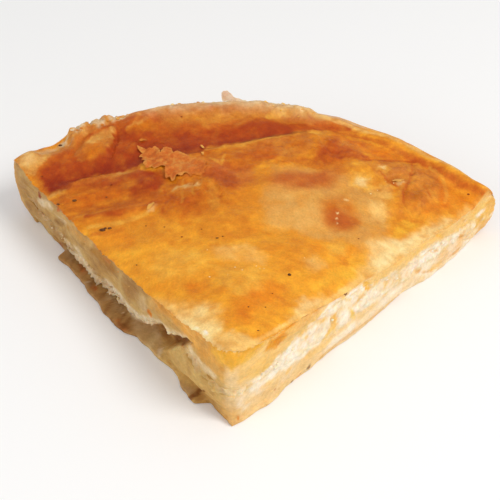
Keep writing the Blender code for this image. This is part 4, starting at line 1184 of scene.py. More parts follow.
RIGHT_AREAS = (
    ("maize", 0.9, 4, ((-6, 39), (6, 37), (18, 34), (26, 32), (37, 29), (32, 25.5), (20, 26), (10, 27),
        (0, 28))),
    ("corn", 1, 3, ((-6, 39), (4, 37), (8, 35), (14, 33), (15, 29.5), (9, 27.5), (3, 27), (-4, 27))),
    ("ochre", 0.4, 3, ((-6, 39), (4, 37), (8, 35), (14, 33), (13, 30), (4, 29), (-4, 29))),
    ("pale", 0.7, 3, ((-4, 14), (-4, 27), (3, 26.5), (3.5, 20), (2, 14))),
    ("wheat", 0.4, 3, ((-4, -1), (-4, 9), (1, 9), (3, 5), (5, -1))),
    ("ochre", 0.9, 1.6, ((13, 33.2), (18, 32.8), (24, 31.2), (31, 28.8), (28, 27.6), (22, 28.6),
        (15, 30.5))),
    ("maize", 0.8, 3, ((8, 21), (14, 22.5), (21, 20), (22, 17.5), (16, 15.5), (10, 16.5))),
    ("wheat", 0.45, 4, ((27, 27), (36, 27.5), (44, 26), (40, 23), (30, 23))),
    ("khaki", 0.12, 5, ((0, 10), (12, 9), (30, 8), (44, 7), (40, 1), (20, -1), (2, 0))),
    ("white", 0.3, 3, ((1, 18), (4, 17), (8, 12), (5, 8.5), (9, 5), (6, 4), (3, 8), (1, 14))),
    ("white", 0.8, 2, ((44, 22), (49, 25), (54, 25), (57, 22), (54, 20.5), (48, 20.5))),
    ("white", 1, 1.5, ((9, 12), (12, 13.8), (20, 16), (22, 18), (27, 18.5), (33, 19), (40, 19.5), (43, 21),
        (46, 23), (50, 23.8), (53, 22), (54.5, 19), (52, 17.5), (51, 13), (49, 11), (46, 8.5), (40, 9.3),
        (37, 7.2), (33, 9.3), (31, 9), (28, 7.5), (26, 9.5), (24, 10.8), (19, 8.7), (16, 9.7), (10, 10.8))),
    ("white", 0.95, 2, ((55, 20), (61, 23.4), (70, 22.4), (72, 19.5), (66, 17.5), (60, 18))),
    ("white", 0.95, 2, ((55, 17), (60, 15.8), (61.5, 11), (57, 9.5), (54.5, 12))),
    ("white", 1, 2, ((64, 14), (72, 16), (81, 16.5), (82, 10), (80, 8.5), (72, 8.3), (66, 10))),
    ("white", 0.95, 2.5, ((96, 15.5), (104, 16), (112, 15.5), (120, 14), (129, 12), (124, 9.3), (116, 8.6),
        (108, 9.2), (100, 9.6))),
    # A painted highlight on the lower dough's folds.
    ("white", 0.8, 3, ((47, 3), (54, 6.2), (62, 5.6), (69, 3.6), (62, 1.6), (52, 1.8))),
    ("white", 0.6, 3, ((80, 5), (86, 7.5), (92, 5.5), (88, 3), (82, 3))),
    ("white", 0.6, 3, ((104, 4), (107, 9.5), (112, 10), (111, 4))),
    ("white", 0.5, 3, ((82, 17), (88, 17), (92, 13), (86, 12))),
    ("maize", 1, 3, ((139, 8), (146, 17), (156, 19), (156, 2), (147, 3))),
    ("maize", 0.6, 3, ((84, 21), (96, 22), (108, 20), (106, 17), (94, 17))),
    ("maize", 0.7, 3, ((136, 14), (139, 18.5), (147, 19), (147, 13))),
    ("maize", 0.5, 3, ((36, 8), (46, 8.5), (56, 8), (64, 8), (76, 8), (80, 5), (66, 6), (50, 6),
        (40, 4.5))),
    ("haze", 0.3, 4, ((116, 7), (126, 8), (134, 6), (132, 1), (118, 1))),
    ("gold", 0.6, 2, ((139, 20.6), (145, 25), (156, 23), (154, 19.6), (146, 19.8))),
)
RIGHT_PATCHES = (
    ("ochre", 22, 25.4, 5.6, 2.3, -6, 1, 0.4), ("honey", 24, 25.8, 3.2, 1.7, -6, 0.8, 0.7),
    ("ochre", 29, 28, 3.4, 0.7, -5, 0.85, 0.5), ("burnt", 23.5, 23.4, 1.8, 0.7, -5, 0.4, 0.8),
    ("ochre", 41.5, 26.5, 2.4, 0.7, -30, 0.6, 0.7), ("sun", 45.5, 19.6, 3.4, 1.2, -22, 0.7, 0.8),
    ("sun", 52.6, 14, 1.8, 4.6, 6, 0.8, 0.7), ("lemon", 49.5, 10.2, 3.2, 1.2, 28, 0.85, 0.8),
    ("lemon", 63.6, 11, 1, 3.4, 25, 0.85, 0.8), ("sun", 71, 20.2, 3.9, 1.2, -50, 0.95, 0.6),
    ("sun", 116, 17.4, 3.6, 0.9, -42, 0.7, 0.8), ("lemon", 37.4, 17.2, 1.6, 0.8, -40, 0.8, 0.8),
    ("lemon", 60, 20.2, 3, 0.7, -40, 0.7, 0.8), ("haze", 103.5, 7, 2.2, 0.9, -42, 0.8, 0.7),
    ("ochre", 132, 8, 2.4, 0.9, -42, 0.6, 0.8), ("haze", 113, 11.6, 4, 0.6, -35, 0.7, 0.7),
    ("haze", 110, 3, 4, 0.9, -30, 0.6, 0.8), ("haze", 87.5, 20.6, 1.6, 0.7, -40, 0.6, 0.7),
    ("haze", 132, 16.4, 2.8, 0.6, -38, 0.6, 0.7), ("maize", 28.5, 7.4, 1.4, 1.8, -30, 0.7, 0.7),
    ("maize", 67, 15.8, 3.6, 1, 15, 0.6, 0.7), ("maize", 91.5, 12, 1.6, 5, 0, 0.5, 0.8),
    ("amber", 2.7, 2.6, 1.1, 1.2, 20, 0.9, 0.6), ("umber", 31, 0.4, 0.7, 0.5, 0, 0.8, 0.7),
    ("clay", 34.3, 0.5, 1.4, 0.5, 0, 0.7, 0.8), ("umber", 39.5, 1.2, 1, 0.6, 0, 0.8, 0.7),
    ("clay", 22, 2.7, 0.5, 0.5, 0, 0.5, 0.8), ("char", 58.8, 23.6, 0.9, 0.6, -40, 0.9, 0.5),
    ("mushroom", 19, -2.4, 3, 0.5, -40, 0.8, 0.6), ("wheat", 128, 1.6, 4, 0.9, 5, 0.5, 0.8),
    ("haze", 6, 2.6, 1.4, 1, 0, 0.4, 0.8), ("maize", 115, 2.5, 4, 1.6, 0, 0.7, 0.8),
    ("maize", 18, 8.6, 4, 1.3, 0, 0.6, 0.8), ("maize", 83, 14, 2.4, 2.6, -30, 0.6, 0.8),
    ("sun", 22, 30, 4, 1.3, -12, 0.6, 0.8), ("pale", 152, 3, 3, 3, 0, 0.7, 0.8),
)
RIGHT_LINES = (
    ("clay", 0.75, 0.7, ((2, 36.4, 0.35), (8, 34.6, 0.5), (13, 33.7, 0.5), (18, 33.6, 0.5), (21, 31.8, 0.6),
        (26, 31.2, 0.5), (31, 30.2, 0.5), (38, 28.2, 0.4))),
    ("clay", 0.45, 0.8, ((37, 28.2, 0.4), (42, 27, 0.5), (50, 25.6, 0.5), (58, 24.4, 0.3))),
    ("wheat", 0.45, 0.8, ((46, 0.9, 0.6), (56, 1.5, 0.9), (66, 1.1, 0.8), (80, 0.6, 0.7), (92, 2.2, 0.5))),
)


def left_colours(x, y, z, out, layer):
    """The left cut: grey-brown folded dough, curds along the overhang, and the browned recess, with painted
    shade in it and in the hollow.
    """
    reach = np.hypot(x, y)
    below = top_height(x, y) - z
    along = reach + LEFT_LEAN[0] * out
    height = z + LEFT_LEAN[1] * out
    left = flat_paint("khaki", len(x))
    if layer == "cheese":
        left = tint(left, "curd", 0.5 * blotches(along, height, 5.0, 701, 3, 1.4, 0.6))
    # A darker band just below the crust's edge, from about 24 mm along the cut.
    under_crust_band = bump(below, 1.6, 2.6) * rising(along, 24.0, 8.0)
    left = tint(left, "bark", 0.55 * (under_crust_band * blotches(along, height, 4.0, 704, 3, 2.0, 0.6)))
    stained = rising(along, 44.0, 12.0) * blotches(along, height * 1.6, 6.0, 705, 4, 2.4, -0.35)
    left = tint(left, "bark", 0.6 * stained)
    left = paint_areas(left, along, height, LEFT_AREAS, 710, 0.4, 4.0)
    left = paint_ovals(left, along, height, LEFT_PATCHES, 712, 0.5, 4.0)
    left = paint_lines(left, along, height, LEFT_LINES, 714, 0.6, 4.0)
    if layer == "cheese":
        fringe_top = cheese_floor(x, y) + 2.4 + 2.6 * in_line(fractal, reach, 5.0, 706, 4)
        left = tint(left, "curd", 0.7 * falling(z, fringe_top, 1.2) * browned_share(reach))
    mottling = fractal(reach + 0.5 * out, z * 1.5, 5.0, 716, 4)
    spots = fractal(reach + 0.5 * out, z, 2.0, 717, 3)
    # In the recess: umber spots, partly browned sheets and partly painted shade under the overhang, and paler
    # mushroom crumbs.
    recess_share = falling(height, 6.0, 3.0) * browned_share(along - 4.0)
    left = tint(left, "umber", 0.75 * recess_share * smooth(2.4 * spots + 0.8 * mottling - 0.25))
    left = tint(left, "mushroom", 0.8 * recess_share * smooth(-2.4 * spots - 0.3))
    mottled = (0.8 * mottling + 0.7 * spots) * (0.3 + 0.7 * smooth(reach / 10.0))
    left = left * np.exp(mottled[:, None] * LEFT_BROWNING)
    near_tip = 1.0 - rising(reach, 36.0, 24.0)
    return left * (1.0 + near_tip[:, None] * LEFT_TIP_LIGHT)


def right_colours(x, y, z, out, layer):
    """The right cut: pale dough, with white crumbly cheese that spills over both seams."""
    reach = np.hypot(x, y)
    along = reach + RIGHT_LEAN[0] * out
    height = z + RIGHT_LEAN[1] * out
    right = flat_paint("pale", len(x))
    right = tint(right, "white", 0.6 * blotches(along, height * 1.3, 7.0, 702, 4, 1.8, 0.2))
    above_cheese = (height - 13.0) / 5.0
    right = tint(right, "maize", 0.75 * smooth(above_cheese + rising(along, 112.0, 20.0)))
    if layer == "cheese":
        right = tint(right, "white", 0.6 * blotches(along, height, 4.0, 703, 4, 1.5, 0.6))
    else:
        right = tint(right, "maize", 0.4 * falling(height, 9.0, 3.0) * falling(along, 58.0, 12.0))
    right = paint_areas(right, along, height, RIGHT_AREAS, 730, 0.4, 4.0)
    right = paint_ovals(right, along, height, RIGHT_PATCHES, 732, 0.5, 4.0)
    right = paint_lines(right, along, height, RIGHT_LINES, 734, 0.6, 4.0)
    mottling = fractal(along, height * 1.4, 4.0, 736, 4) + 0.5 * fractal(reach, z, 1.8, 737, 2)
    right = right * np.exp(mottling[:, None] * RIGHT_BROWNING)
    if layer == "cheese":
        # Painted shade in the clefts between the cheese's crumbs, in a darker yellow.
        cleft_shade = smooth(-0.5 - 2.2 * crumb_relief(reach, z, 400))
        right = tint(right, "maize", 0.3 * cleft_shade)
    joined = np.maximum(bump(z, cheese_floor(x, y), 0.7), bump(z, cheese_roof(x, y), 0.7))
    right = tint(right, "maize", 0.4 * joined * blotches(along, height, 3.0, 707, 3, 1.6, 0.5))
    far = rising(along, 124.0, 14.0)
    flecks = fractal(along, height * 1.3, 3.4, 738, 4)
    right = tint(right, "white", 0.8 * far * smooth(3.0 * flecks - 0.2))
    right = tint(right, "ochre", 0.4 * far * smooth(-3.0 * flecks - 0.3))
    return right * RIGHT_BALANCE


def rim_colours(x, y, z):
    """The wall that lay against the pan: honey brown, darker towards the base."""
    rim = flat_paint("honey", len(x))
    spots = fractal(np.arctan2(x, y) * RADIUS, z * 1.3, 12.0, 740, 4)
    rim = tint(rim, "burnt", 0.7 * smooth(spots * 1.5 - 0.1))
    rim = tint(rim, "butter", 0.7 * smooth(-spots * 1.8 - 0.1))
    return tint(rim, "burnt", 0.6 * falling(z, 4.0, 4.0))


def cut_colours(x, y, z, outs, layer):
    """Colours of a layer at the cuts and the rim, and of the crust's edge over them."""
    sides = (left_colours(x, y, z, outs[0], layer), right_colours(x, y, z, outs[1], layer),
             rim_colours(x, y, z))
    weights = [share * bump(depth, 0.0, CORNER_BLEND) + 1e-6
               for share, depth in zip(CORNER_WEIGHTS, depths(x, y))]
    total = sum(weights)
    mixed = sum(part * (weight / total)[:, None] for part, weight in zip(sides, weights))
    reach = np.hypot(x, y)
    below = top_height(x, y) - z
    near_tip = falling(reach, 26.0, 10.0)
    ragged = 0.9 * in_line(fractal, reach, 2.6, 745, 4)
    ragged = ragged + 1.3 * (in_line(pebbles, reach, 2.2, 746) - 0.4) * near_tip
    edge = falling(below, CRUST_EDGE + ragged, 0.6)[:, None]
    # Near the tip the crust's edge on the cuts gets a painted highlight in cream.
    crust = tint(crust_colours(x, y), "cream", 0.7 * (near_tip * rising(below, 0.2, 0.6)))
    return mixed * (1.0 - edge) + crust * edge


# Distances of a layer's first rings below its top, and of its last rings above its bottom.
PLAIN_STEPS = (0.0,)
TOP_STEPS = (0.0, 0.3, 0.55, 0.8, 1.0, 1.25, 1.6, 2.1)
BASE_STEPS = (0.0, 0.5, 1.0, 1.2, 1.4, 1.6, 1.8, 2.0, 2.3)
# How many rings of faces below the top belong to the crust's lip.
LIP_RINGS = 3
# How far the layers reach into each other at their seams, inside the food.
OVERLAP = 0.1


def ring_heights(level, levels, top, bottom, steps_down, steps_up):
    """Heights of the rings from top to bottom, with set distances at either end and even ones between."""
    down = len(steps_down)
    up = len(steps_up)
    middle = (level - (down - 1)) / (levels - down - up + 1.0)
    height = (top - steps_down[-1]) + ((bottom + steps_up[-1]) - (top - steps_down[-1])) * middle
    for index, step in enumerate(steps_down):
        height = np.where(level == index, top - step, height)
    for index, step in enumerate(steps_up):
        height = np.where(level == levels - 1 - index, bottom + step, height)
    return height


def hanging(x, y, seed):
    """How far the ragged lower edge of a layer hangs down at the cuts."""
    along = np.hypot(x, y)
    left_depth, right_depth, _ = depths(x, y)
    ragged = 0.1 + 0.9 * in_line(fractal, along, 7.0, seed, 4) + 0.6 * in_line(pebbles, along, 4.6, seed)
    ragged = ragged + 0.45 * in_line(pebbles, along, 1.9, seed + 3)
    return np.clip(ragged, 0.0, 2.2) * (1.7 * bump(left_depth, 0.0, 4.0) + 0.1 * bump(right_depth, 0.0, 4.0))


def upper_surfaces(x, y, seam):
    inner = cheese_roof(x, y) - OVERLAP - hanging(x, y, 800)
    return top_height(x, y), inner + (cheese_floor(x, y) - OVERLAP - inner) * seam


def cheese_surfaces(x, y, seam):
    return cheese_roof(x, y), cheese_floor(x, y) - hanging(x, y, 810) * (1.0 - seam)


def lower_surfaces(x, y, seam):
    return cheese_floor(x, y) + OVERLAP, 0.0 * seam


# Each layer: piece, node, slot, rings, surfaces, steps down and up, reach, blends at the top and
# below it, and the materials of its outside and its cuts.
LAYERS = {
    "upper": ("burek_upper_pastry", "upper_pastry", "baked_crust", 30, upper_surfaces,
              (TOP_STEPS, PLAIN_STEPS), 1.0, (3.0, 12.0), ("crust", "dough")),
    "cheese": ("burek_cheese", "cheese_filling", "white_cheese", 16, cheese_surfaces,
               (PLAIN_STEPS, PLAIN_STEPS), CHEESE_REACH, (12.0, 12.0), ("cheese", "cheese")),
    "lower": ("burek_lower_pastry", "lower_pastry", "soft_dough", 24, lower_surfaces,
              (PLAIN_STEPS, BASE_STEPS), 1.0, (12.0, 7.0), ("crust", "dough")),
}


def make_layer(layer, materials):
    """One layer of the portion: its surfaces, its relief at the cuts, its colours and its mesh."""
    name, node, slot, levels, surfaces, steps, reach, blends, looks = LAYERS[layer]
    fine_top = layer == "upper"
    body = Body(CELLS, levels, fine_top)
    u, v, level = body.coordinates()
    on_top = level == 0
    x, y = wedge_place(u * reach, v * reach)
    seam = smooth((reach * np.maximum(u, v) - CHEESE_REACH) / SEAM_WIDTH + 1.0)
    top, bottom = surfaces(x, y, seam)
    z = ring_heights(level, levels, top, bottom, *steps)
    outs = side_outs(x, y, z, layer)
    moved_x, moved_y = pushed(x, y, outs, np.where(on_top, blends[0], blends[1]))
    if fine_top:
        z = np.where(on_top, top_height(moved_x, moved_y), z)
    places = np.stack((moved_x, moved_y, z), -1)
    slots = body.slots(LIP_RINGS if fine_top else 0)
    made = make_mesh(name, places, body.faces, [materials[look] for look in looks], slots)
    colours = cut_colours(x, y, z, outs, layer)
    if fine_top:
        colours[on_top] = crust_colours(moved_x[on_top], moved_y[on_top])
    set_paint(made, colours, np.where(on_top, 0.0, 0.5))
    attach(made, "root")
    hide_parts(node)


def add_node(material, kind, **settings):
    node = material.node_tree.nodes.new(kind)
    for name, value in settings.items():
        if name in node.inputs:
            node.inputs[name].default_value = value
        else:
            setattr(node, name, value)
    return node


def set_inputs(node, values):
    for name, value in values.items():
        node.inputs[name].default_value = value


def join(material, source, output, target, entry):
    material.node_tree.links.new(source.outputs[output], target.inputs[entry])


def add_noise(material, scale_mm, detail, stretch=(1.0, 1.0, 1.0)):
    """Noise with features of about a size in millimetres, laid out by the object's own coordinates."""
    place = add_node(material, "ShaderNodeTexCoord")
    mapping = add_node(material, "ShaderNodeMapping", Scale=stretch)
    scale = 1.0 / (scale_mm * MM)
    texture = add_node(material, "ShaderNodeTexNoise", Scale=scale, Detail=detail, Roughness=0.6)
    join(material, place, "Object", mapping, "Vector")
    join(material, mapping, "Vector", texture, "Vector")
    return texture


def spread(material, texture, low, high):
    """Spreads the middle part of a noise's values over a range from low to high."""
    made = add_node(material, "ShaderNodeMapRange")
    set_inputs(made, {"From Min": 0.3, "From Max": 0.7, "To Min": low, "To Max": high})
    join(material, texture, 0, made, "Value")
    return made


def vary(material, texture, low, high, source, output):
    """Multiplies a colour by a factor that the texture moves between low and high."""
    product = add_node(material, "ShaderNodeVectorMath", operation="MULTIPLY")
    join(material, source, output, product, 0)
    join(material, spread(material, texture, low, high), "Result", product, 1)
    return product


def add_bump(material, texture, depth_mm, strength, previous=None):
    made = add_node(material, "ShaderNodeBump", Strength=strength, Distance=depth_mm * MM)
    join(material, texture, 0, made, "Height")
    if previous:
        join(material, previous, "Normal", made, "Normal")
    return made


def food_material(name, roughness, subsurface, radius_mm, grain_mm, grain_depth, stretch, coat):
    """Painted food: fine colour changes, uneven gloss and grain, over the paint on the mesh."""
    material = bpy.data.materials.new(name)
    material.use_nodes = True
    shader = material.node_tree.nodes["Principled BSDF"]
    set_inputs(shader, {
        "Roughness": roughness[0], "IOR": 1.4, "Specular IOR Level": 0.25,
        "Subsurface Weight": subsurface, "Subsurface Radius": (1.0, 0.55, 0.25),
        "Subsurface Scale": radius_mm * MM, "Coat Weight": coat, "Coat Roughness": 0.25,
    })
    paint = add_node(material, "ShaderNodeAttribute", attribute_name="paint")
    broad = add_noise(material, 4.0, 4.0, stretch)
    fine = add_noise(material, grain_mm, 5.0, stretch)
    first = vary(material, broad, 0.92, 1.07, paint, "Color")
    second = vary(material, fine, 0.88, 1.09, first, "Vector")
    join(material, second, "Vector", shader, "Base Color")
    join(material, spread(material, broad, *roughness), "Result", shader, "Roughness")
    pores = add_noise(material, 0.45 * grain_mm, 3.0, stretch)
    pitted = add_bump(material, pores, 0.5 * grain_depth, 0.8)
    grain = add_bump(material, fine, grain_depth, 0.8, pitted)
    relief = add_bump(material, broad, grain_depth * 1.5, 0.5, grain)
    join(material, relief, "Normal", shader, "Normal")
    return material


EVEN = (1.0, 1.0, 1.0)
LAYERED = (0.8, 0.8, 1.4)
# Each look: roughness from and to, light scattered inside and how far (mm), size and depth of the
# grain (mm), its stretch, and the gloss of the fat on it.
LOOKS = {
    "crust": ("baked_crust_look", (0.38, 0.65), 0.1, 1.5, 0.8, 0.26, EVEN, 0.04),
    "dough": ("soft_dough_look", (0.45, 0.65), 0.2, 1.8, 0.9, 0.24, LAYERED, 0.03),
    "flake": ("dry_flake_look", (0.5, 0.75), 0.1, 1.0, 0.6, 0.1, EVEN, 0.0),
    "cheese": ("white_cheese_look", (0.4, 0.6), 0.35, 2.2, 1.1, 0.24, EVEN, 0.05),
}


def ragged_inside(a, b, outline):
    """How far inside an outline a place lies, where the outline is made ragged."""
    inside = inside_distance(a, b, outline) + 0.45 * fractal(a, b, 1.5, 815, 2)
    return inside + 0.3 * noise(a / 3.0, b / 3.0, 816)


def side_walls(quads, below):
    """Quads along the border of a sheet, down to its lower face, whose vertices come after the upper ones."""
    edges = np.concatenate([quads[:, (side, (side + 1) % 4)] for side in range(4)])
    present = {(int(start), int(end)) for start, end in edges}
    border = np.array([edge for edge in edges if (int(edge[1]), int(edge[0])) not in present])
    return np.stack((border[:, 1], border[:, 0], border[:, 0] + below, border[:, 1] + below), -1)


def sheet_grid(outline, cell):
    """Grid places inside a ragged outline, and the quads between them."""
    corners = np.array(outline, float)
    low = corners.min(axis=0) - cell
    counts = np.ceil((corners.max(axis=0) + cell - low) / cell).astype(int) + 1
    a, b = np.meshgrid(*[low[axis] + cell * np.arange(counts[axis]) for axis in (0, 1)], indexing="ij")
    a = a.ravel()
    b = b.ravel()
    quads = index_quads(np.arange(len(a)).reshape(counts))
    quads = quads[ragged_inside(a[quads].mean(axis=1), b[quads].mean(axis=1), outline) > 0.0]
    used, quads = np.unique(quads, return_inverse=True)
    return a[used], b[used], quads.reshape(-1, 4)


def cut_sheet(outline, cell, place, thickness):
    """A thin closed sheet cut out of a grid: vertices and quads.

    The place function turns grid places into points, and the sheet thins out towards its edge.
    """
    a, b, quads = sheet_grid(outline, cell)
    inside = ragged_inside(a, b, outline)
    step = 0.05
    slope_a = (ragged_inside(a + step, b, outline) - inside) / step
    slope_b = (ragged_inside(a, b + step, outline) - inside) / step
    at_edge = np.abs(inside) < 0.75 * cell
    a = np.where(at_edge, a - inside * slope_a, a)
    b = np.where(at_edge, b - inside * slope_b, b)
    middle = place(a, b)
    normal = np.cross(place(a + step, b) - middle, place(a, b + step) - middle)
    normal = normal / np.linalg.norm(normal, axis=1)[:, None]
    half = 0.5 * thickness * (0.35 + 0.65 * smooth(inside / (4.0 * thickness)))
    points = np.concatenate((middle + normal * half[:, None], middle - normal * half[:, None]))
    return points, np.concatenate((quads, quads[:, ::-1] + len(a), side_walls(quads, len(a))))


def ball():
    """Vertices and triangles of a small round ball, the start of every lump."""
    shape = bmesh.new()
    bmesh.ops.create_icosphere(shape, subdivisions=2, radius=1.0)
    points = np.array([vertex.co[:] for vertex in shape.verts])
    faces = np.array([[vertex.index for vertex in face.verts] for face in shape.faces])
    shape.free()
    return points, faces


def lumps(places, sizes, seed):
    """Uneven lumps: vertices and triangles, and the number of the lump that each vertex belongs to."""
    points, faces = ball()
    dice = np.random.default_rng(seed)
    parts = []
    for number, (place, size) in enumerate(zip(places, sizes)):
        turn = Matrix.Rotation(dice.uniform(0.0, 6.28), 3, Vector(dice.normal(size=3)).normalized())
        across = points[:, 0] * 2.0 + 17.0 * number
        bulges = 1.0 + 0.45 * fractal(across, points[:, 1] * 2.0 + points[:, 2], 1.3, seed, 3)
        turned = (points * bulges[:, None]) @ np.array(turn)
        parts.append(turned * np.array(size) + np.array(place))
    count = len(points)
    owner = np.repeat(np.arange(len(parts)), count)
    joined = np.concatenate([faces + count * number for number in range(len(parts))])
    return np.concatenate(parts), joined, owner


def make_small(name, points, faces, colours, material):
    """A small loose piece, painted vertex by vertex."""
    made = make_mesh(name, points, [faces], (material,))
    set_paint(made, colours, 0.5)
    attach(made, "root")


# The torn sheet that lies on the crust, and smaller flakes beside it: colour, rise, outline.
TORN_OUTLINE = (
    (-47.5, 120.5), (-45, 119), (-43.5, 117.2), (-41, 117), (-39.5, 118), (-37.5, 116.5), (-36.8, 113.5),
    (-36, 116.5), (-34, 117.4), (-32.5, 116), (-31.5, 113.6), (-30, 114.6), (-28.5, 113.8), (-27, 112.4),
    (-25, 111.8), (-23.5, 110), (-22.5, 110.6), (-21, 108.5), (-19.5, 108.8), (-18.8, 106.8), (-17.4, 107),
    (-18.2, 104.6), (-16.8, 103.6), (-18.6, 101.6), (-17.6, 99.8), (-19.6, 98.8), (-21.5, 99.4),
    (-23, 98.2), (-25.5, 100.5), (-27, 98.5), (-28.5, 99.5), (-29.2, 97.2), (-30.4, 97), (-31.5, 99),
    (-32.5, 98.2), (-33.2, 101), (-33.6, 104), (-35, 105.6), (-36.6, 104.2), (-38.4, 104), (-39.5, 105.6),
    (-41, 104.5), (-43, 107), (-42.2, 109), (-44.4, 110.6), (-44, 112.6), (-46, 114), (-44, 115.5),
    (-46, 117.5),
)
SMALL_FLAKES = (
    ("tan", 0.5, ((-47.4, 124.6), (-46.3, 125.6), (-44.6, 125.3), (-43.6, 124.6), (-45, 124.3),
        (-46, 124))),
    ("haze", 0.7, ((-21.2, 119.3), (-20.6, 119.2), (-19.4, 117.4), (-19, 116.8), (-19.7, 116.7),
        (-20.6, 118))),
    ("haze", 0.5, ((-20.3, 113.4), (-19.6, 113.4), (-19.1, 111.8), (-19.8, 111.6))),
    # The next two pale flakes lie where the crust has only a highlight: each is a painted highlight raised
    # into a flake.
    ("haze", 0.4, ((-38.6, 81), (-37.4, 83.2), (-35.8, 83.7), (-36, 82.4), (-37, 80.8))),
    ("haze", 0.5, ((56.2, 108.2), (57.6, 109.6), (60.4, 109.3), (59.6, 108.4), (58, 107.6))),
)
FLAKE_THICKNESS = 0.35
SMALL_THICKNESS = 0.3
# Cells of the grids that the flakes are cut out of.
FLAKE_CELL = 0.28
SMALL_CELL = 0.25
RIM_CELL = 0.3


def flake_lift(x, y, outline, rise):
    """Height of a flake over the crust: it curls up at its edge, more in some places than in others."""
    edge = smooth(1.0 - inside_distance(x, y, outline) / 3.0)
    uneven = 0.5 + 0.7 * fractal(x, y, 6.0, 820, 3)
    return rise * (0.4 + 0.9 * edge * uneven + 0.35 * fractal(x, y, 2.2, 830, 3))


def torn_place(x, y):
    """The torn sheet lies loose at its left end and runs into the crust at its right end."""
    loose = 0.15 + 0.85 * falling(x, -18.0, 14.0)
    wrinkles = 0.35 * fractal(x, y, 2.0, 835, 3)
    return np.stack((x, y, top_height(x, y) + wrinkles + flake_lift(x, y, TORN_OUTLINE, 1.1 * loose)), -1)


def make_torn_sheet(materials):
    points, faces = cut_sheet(TORN_OUTLINE, FLAKE_CELL, torn_place, FLAKE_THICKNESS)
    x, y, _ = points.T
    colours = tint(flat_paint("flame", len(points)), "tan", np.full(len(points), 0.3))
    spots = fractal(x, y, 3.0, 840, 4)
    fine = fractal(x, y, 1.1, 845, 3)
    colours = tint(colours, "haze", 0.35 * smooth(1.8 * spots + 2.0 * fine))
    colours = tint(colours, "rust", 0.4 * smooth(-0.15 - 1.8 * spots - 1.6 * fine))
    edge = smooth(1.0 - inside_distance(x, y, TORN_OUTLINE) / 1.0)
    colours = tint(colours, "haze", 0.5 * edge * smooth(0.7 + spots))
    merging = rising(x, -27.0, 10.0)[:, None]
    colours = colours * (1.0 - 0.8 * merging) + crust_colours(x, y) * 0.8 * merging
    make_small("torn_sheet", points, faces, colours, materials["flake"])


def make_small_flakes(materials):
    all_points = []
    all_faces = []
    all_colours = []
    count = 0
    for name, rise, outline in SMALL_FLAKES:
        def place(x, y):
            return np.stack((x, y, top_height(x, y) + flake_lift(x, y, outline, rise)), -1)

        points, faces = cut_sheet(outline, SMALL_CELL, place, SMALL_THICKNESS)
        all_points.append(points)
        all_faces.append(faces + count)
        all_colours.append(flat_paint(name, len(points)))
        count += len(points)
    make_small("small_flakes", np.concatenate(all_points), np.concatenate(all_faces),
               np.concatenate(all_colours), materials["flake"])


# A white flake that stands on the rim: its outline along the rim and upwards.
RIM_FLAKE = (
    (-15, 0), (-14.6, 2.4), (-14.9, 4.6), (-13.8, 5.8), (-12.6, 5.6), (-12, 4.2), (-10.8, 3.6), (-9.6, 2),
    (-7.6, 1.2), (-5, 0.6), (-4, -0.6), (-8, -0.8),
)
RIM_FLAKE_INSET = 3.0


def rim_flake_place(x, up):
    """The flake follows the rim, a little inside it, and leans inwards."""
    y = np.sqrt((RADIUS - RIM_FLAKE_INSET) ** 2 - x ** 2) + 0.5 * fractal(x, up, 4.0, 850)
    y = y - 0.25 * np.maximum(up, 0.0)
    return np.stack((x, y, top_height(x, y) + up), -1)


def make_rim_flake(materials):
    points, faces = cut_sheet(RIM_FLAKE, RIM_CELL, rim_flake_place, FLAKE_THICKNESS)
    spots = fractal(points[:, 0], points[:, 2], 2.0, 860)
    colours = tint(flat_paint("white", len(points)), "haze", 0.35 * smooth(0.4 + spots))
    make_small("rim_flake", points, faces, colours, materials["flake"])


# Burnt specks and seeds on the crust: place, half length, half width.
SPECKS = (
    (-68, 90.5, 1, 0.8), (-55.5, 91.5, 0.45, 0.35), (-54.5, 97.8, 0.6, 0.5), (-74.5, 89.5, 0.9, 0.6),
    (-54.2, 73.2, 1.25, 0.85), (-53.3, 74, 0.8, 0.6), (-51.6, 73.8, 0.9, 0.7), (-23, 65.3, 0.5, 0.4),
    (-9.8, 63.4, 0.7, 0.4), (-7.8, 64.4, 0.4, 0.3), (17.4, 45.6, 0.8, 0.75), (37.4, 43.5, 0.4, 0.35),
    (4.3, 25.2, 0.35, 0.3), (8.2, 14.4, 0.4, 0.3), (87, 112.3, 0.6, 0.55), (-30.2, 71, 0.4, 0.3),
    (-16, 69, 0.3, 0.3), (-80, 125.2, 1.1, 0.7), (-76.6, 131.2, 0.6, 0.5), (-74.2, 133.4, 0.6, 0.4),
    (-71.5, 135.4, 0.6, 0.4), (42.3, 72, 0.4, 0.3), (-37.5, 73, 0.3, 0.3), (10, 26.5, 0.3, 0.25),
    (-84.2, 106.2, 0.5, 0.4), (-31, 138, 0.45, 0.4), (12, 34.6, 0.3, 0.25), (-38.3, 52.6, 0.35, 0.3),
)
# The shares of these sizes that a speck's lump has, and its half height as a share of its width.
SPECK_LENGTH = 0.85
SPECK_WIDTH = 0.8
SPECK_HEIGHT = 0.55
SPECK_LIFT = 0.1


def make_specks(materials):
    x, y, half_length, half_width = np.array(SPECKS, float).T
    half_length = SPECK_LENGTH * half_length
    half_width = SPECK_WIDTH * half_width
    places = np.stack((x, y, top_height(x, y) + SPECK_LIFT), -1)
    sizes = np.stack((half_length, half_width, SPECK_HEIGHT * half_width), -1)
    points, faces, owner = lumps(places, sizes, 870)
    colours = flat_paint("char", len(points))
    colours = tint(colours, "dark_rust", 0.8 * hashed(owner, owner, 871) * (half_length[owner] < 0.6))
    colours = tint(colours, "shade", 0.4 * smooth(0.3 + fractal(points[:, 0], points[:, 1], 0.5, 872)))
    make_small("burnt_specks", points, faces, colours, materials["flake"])


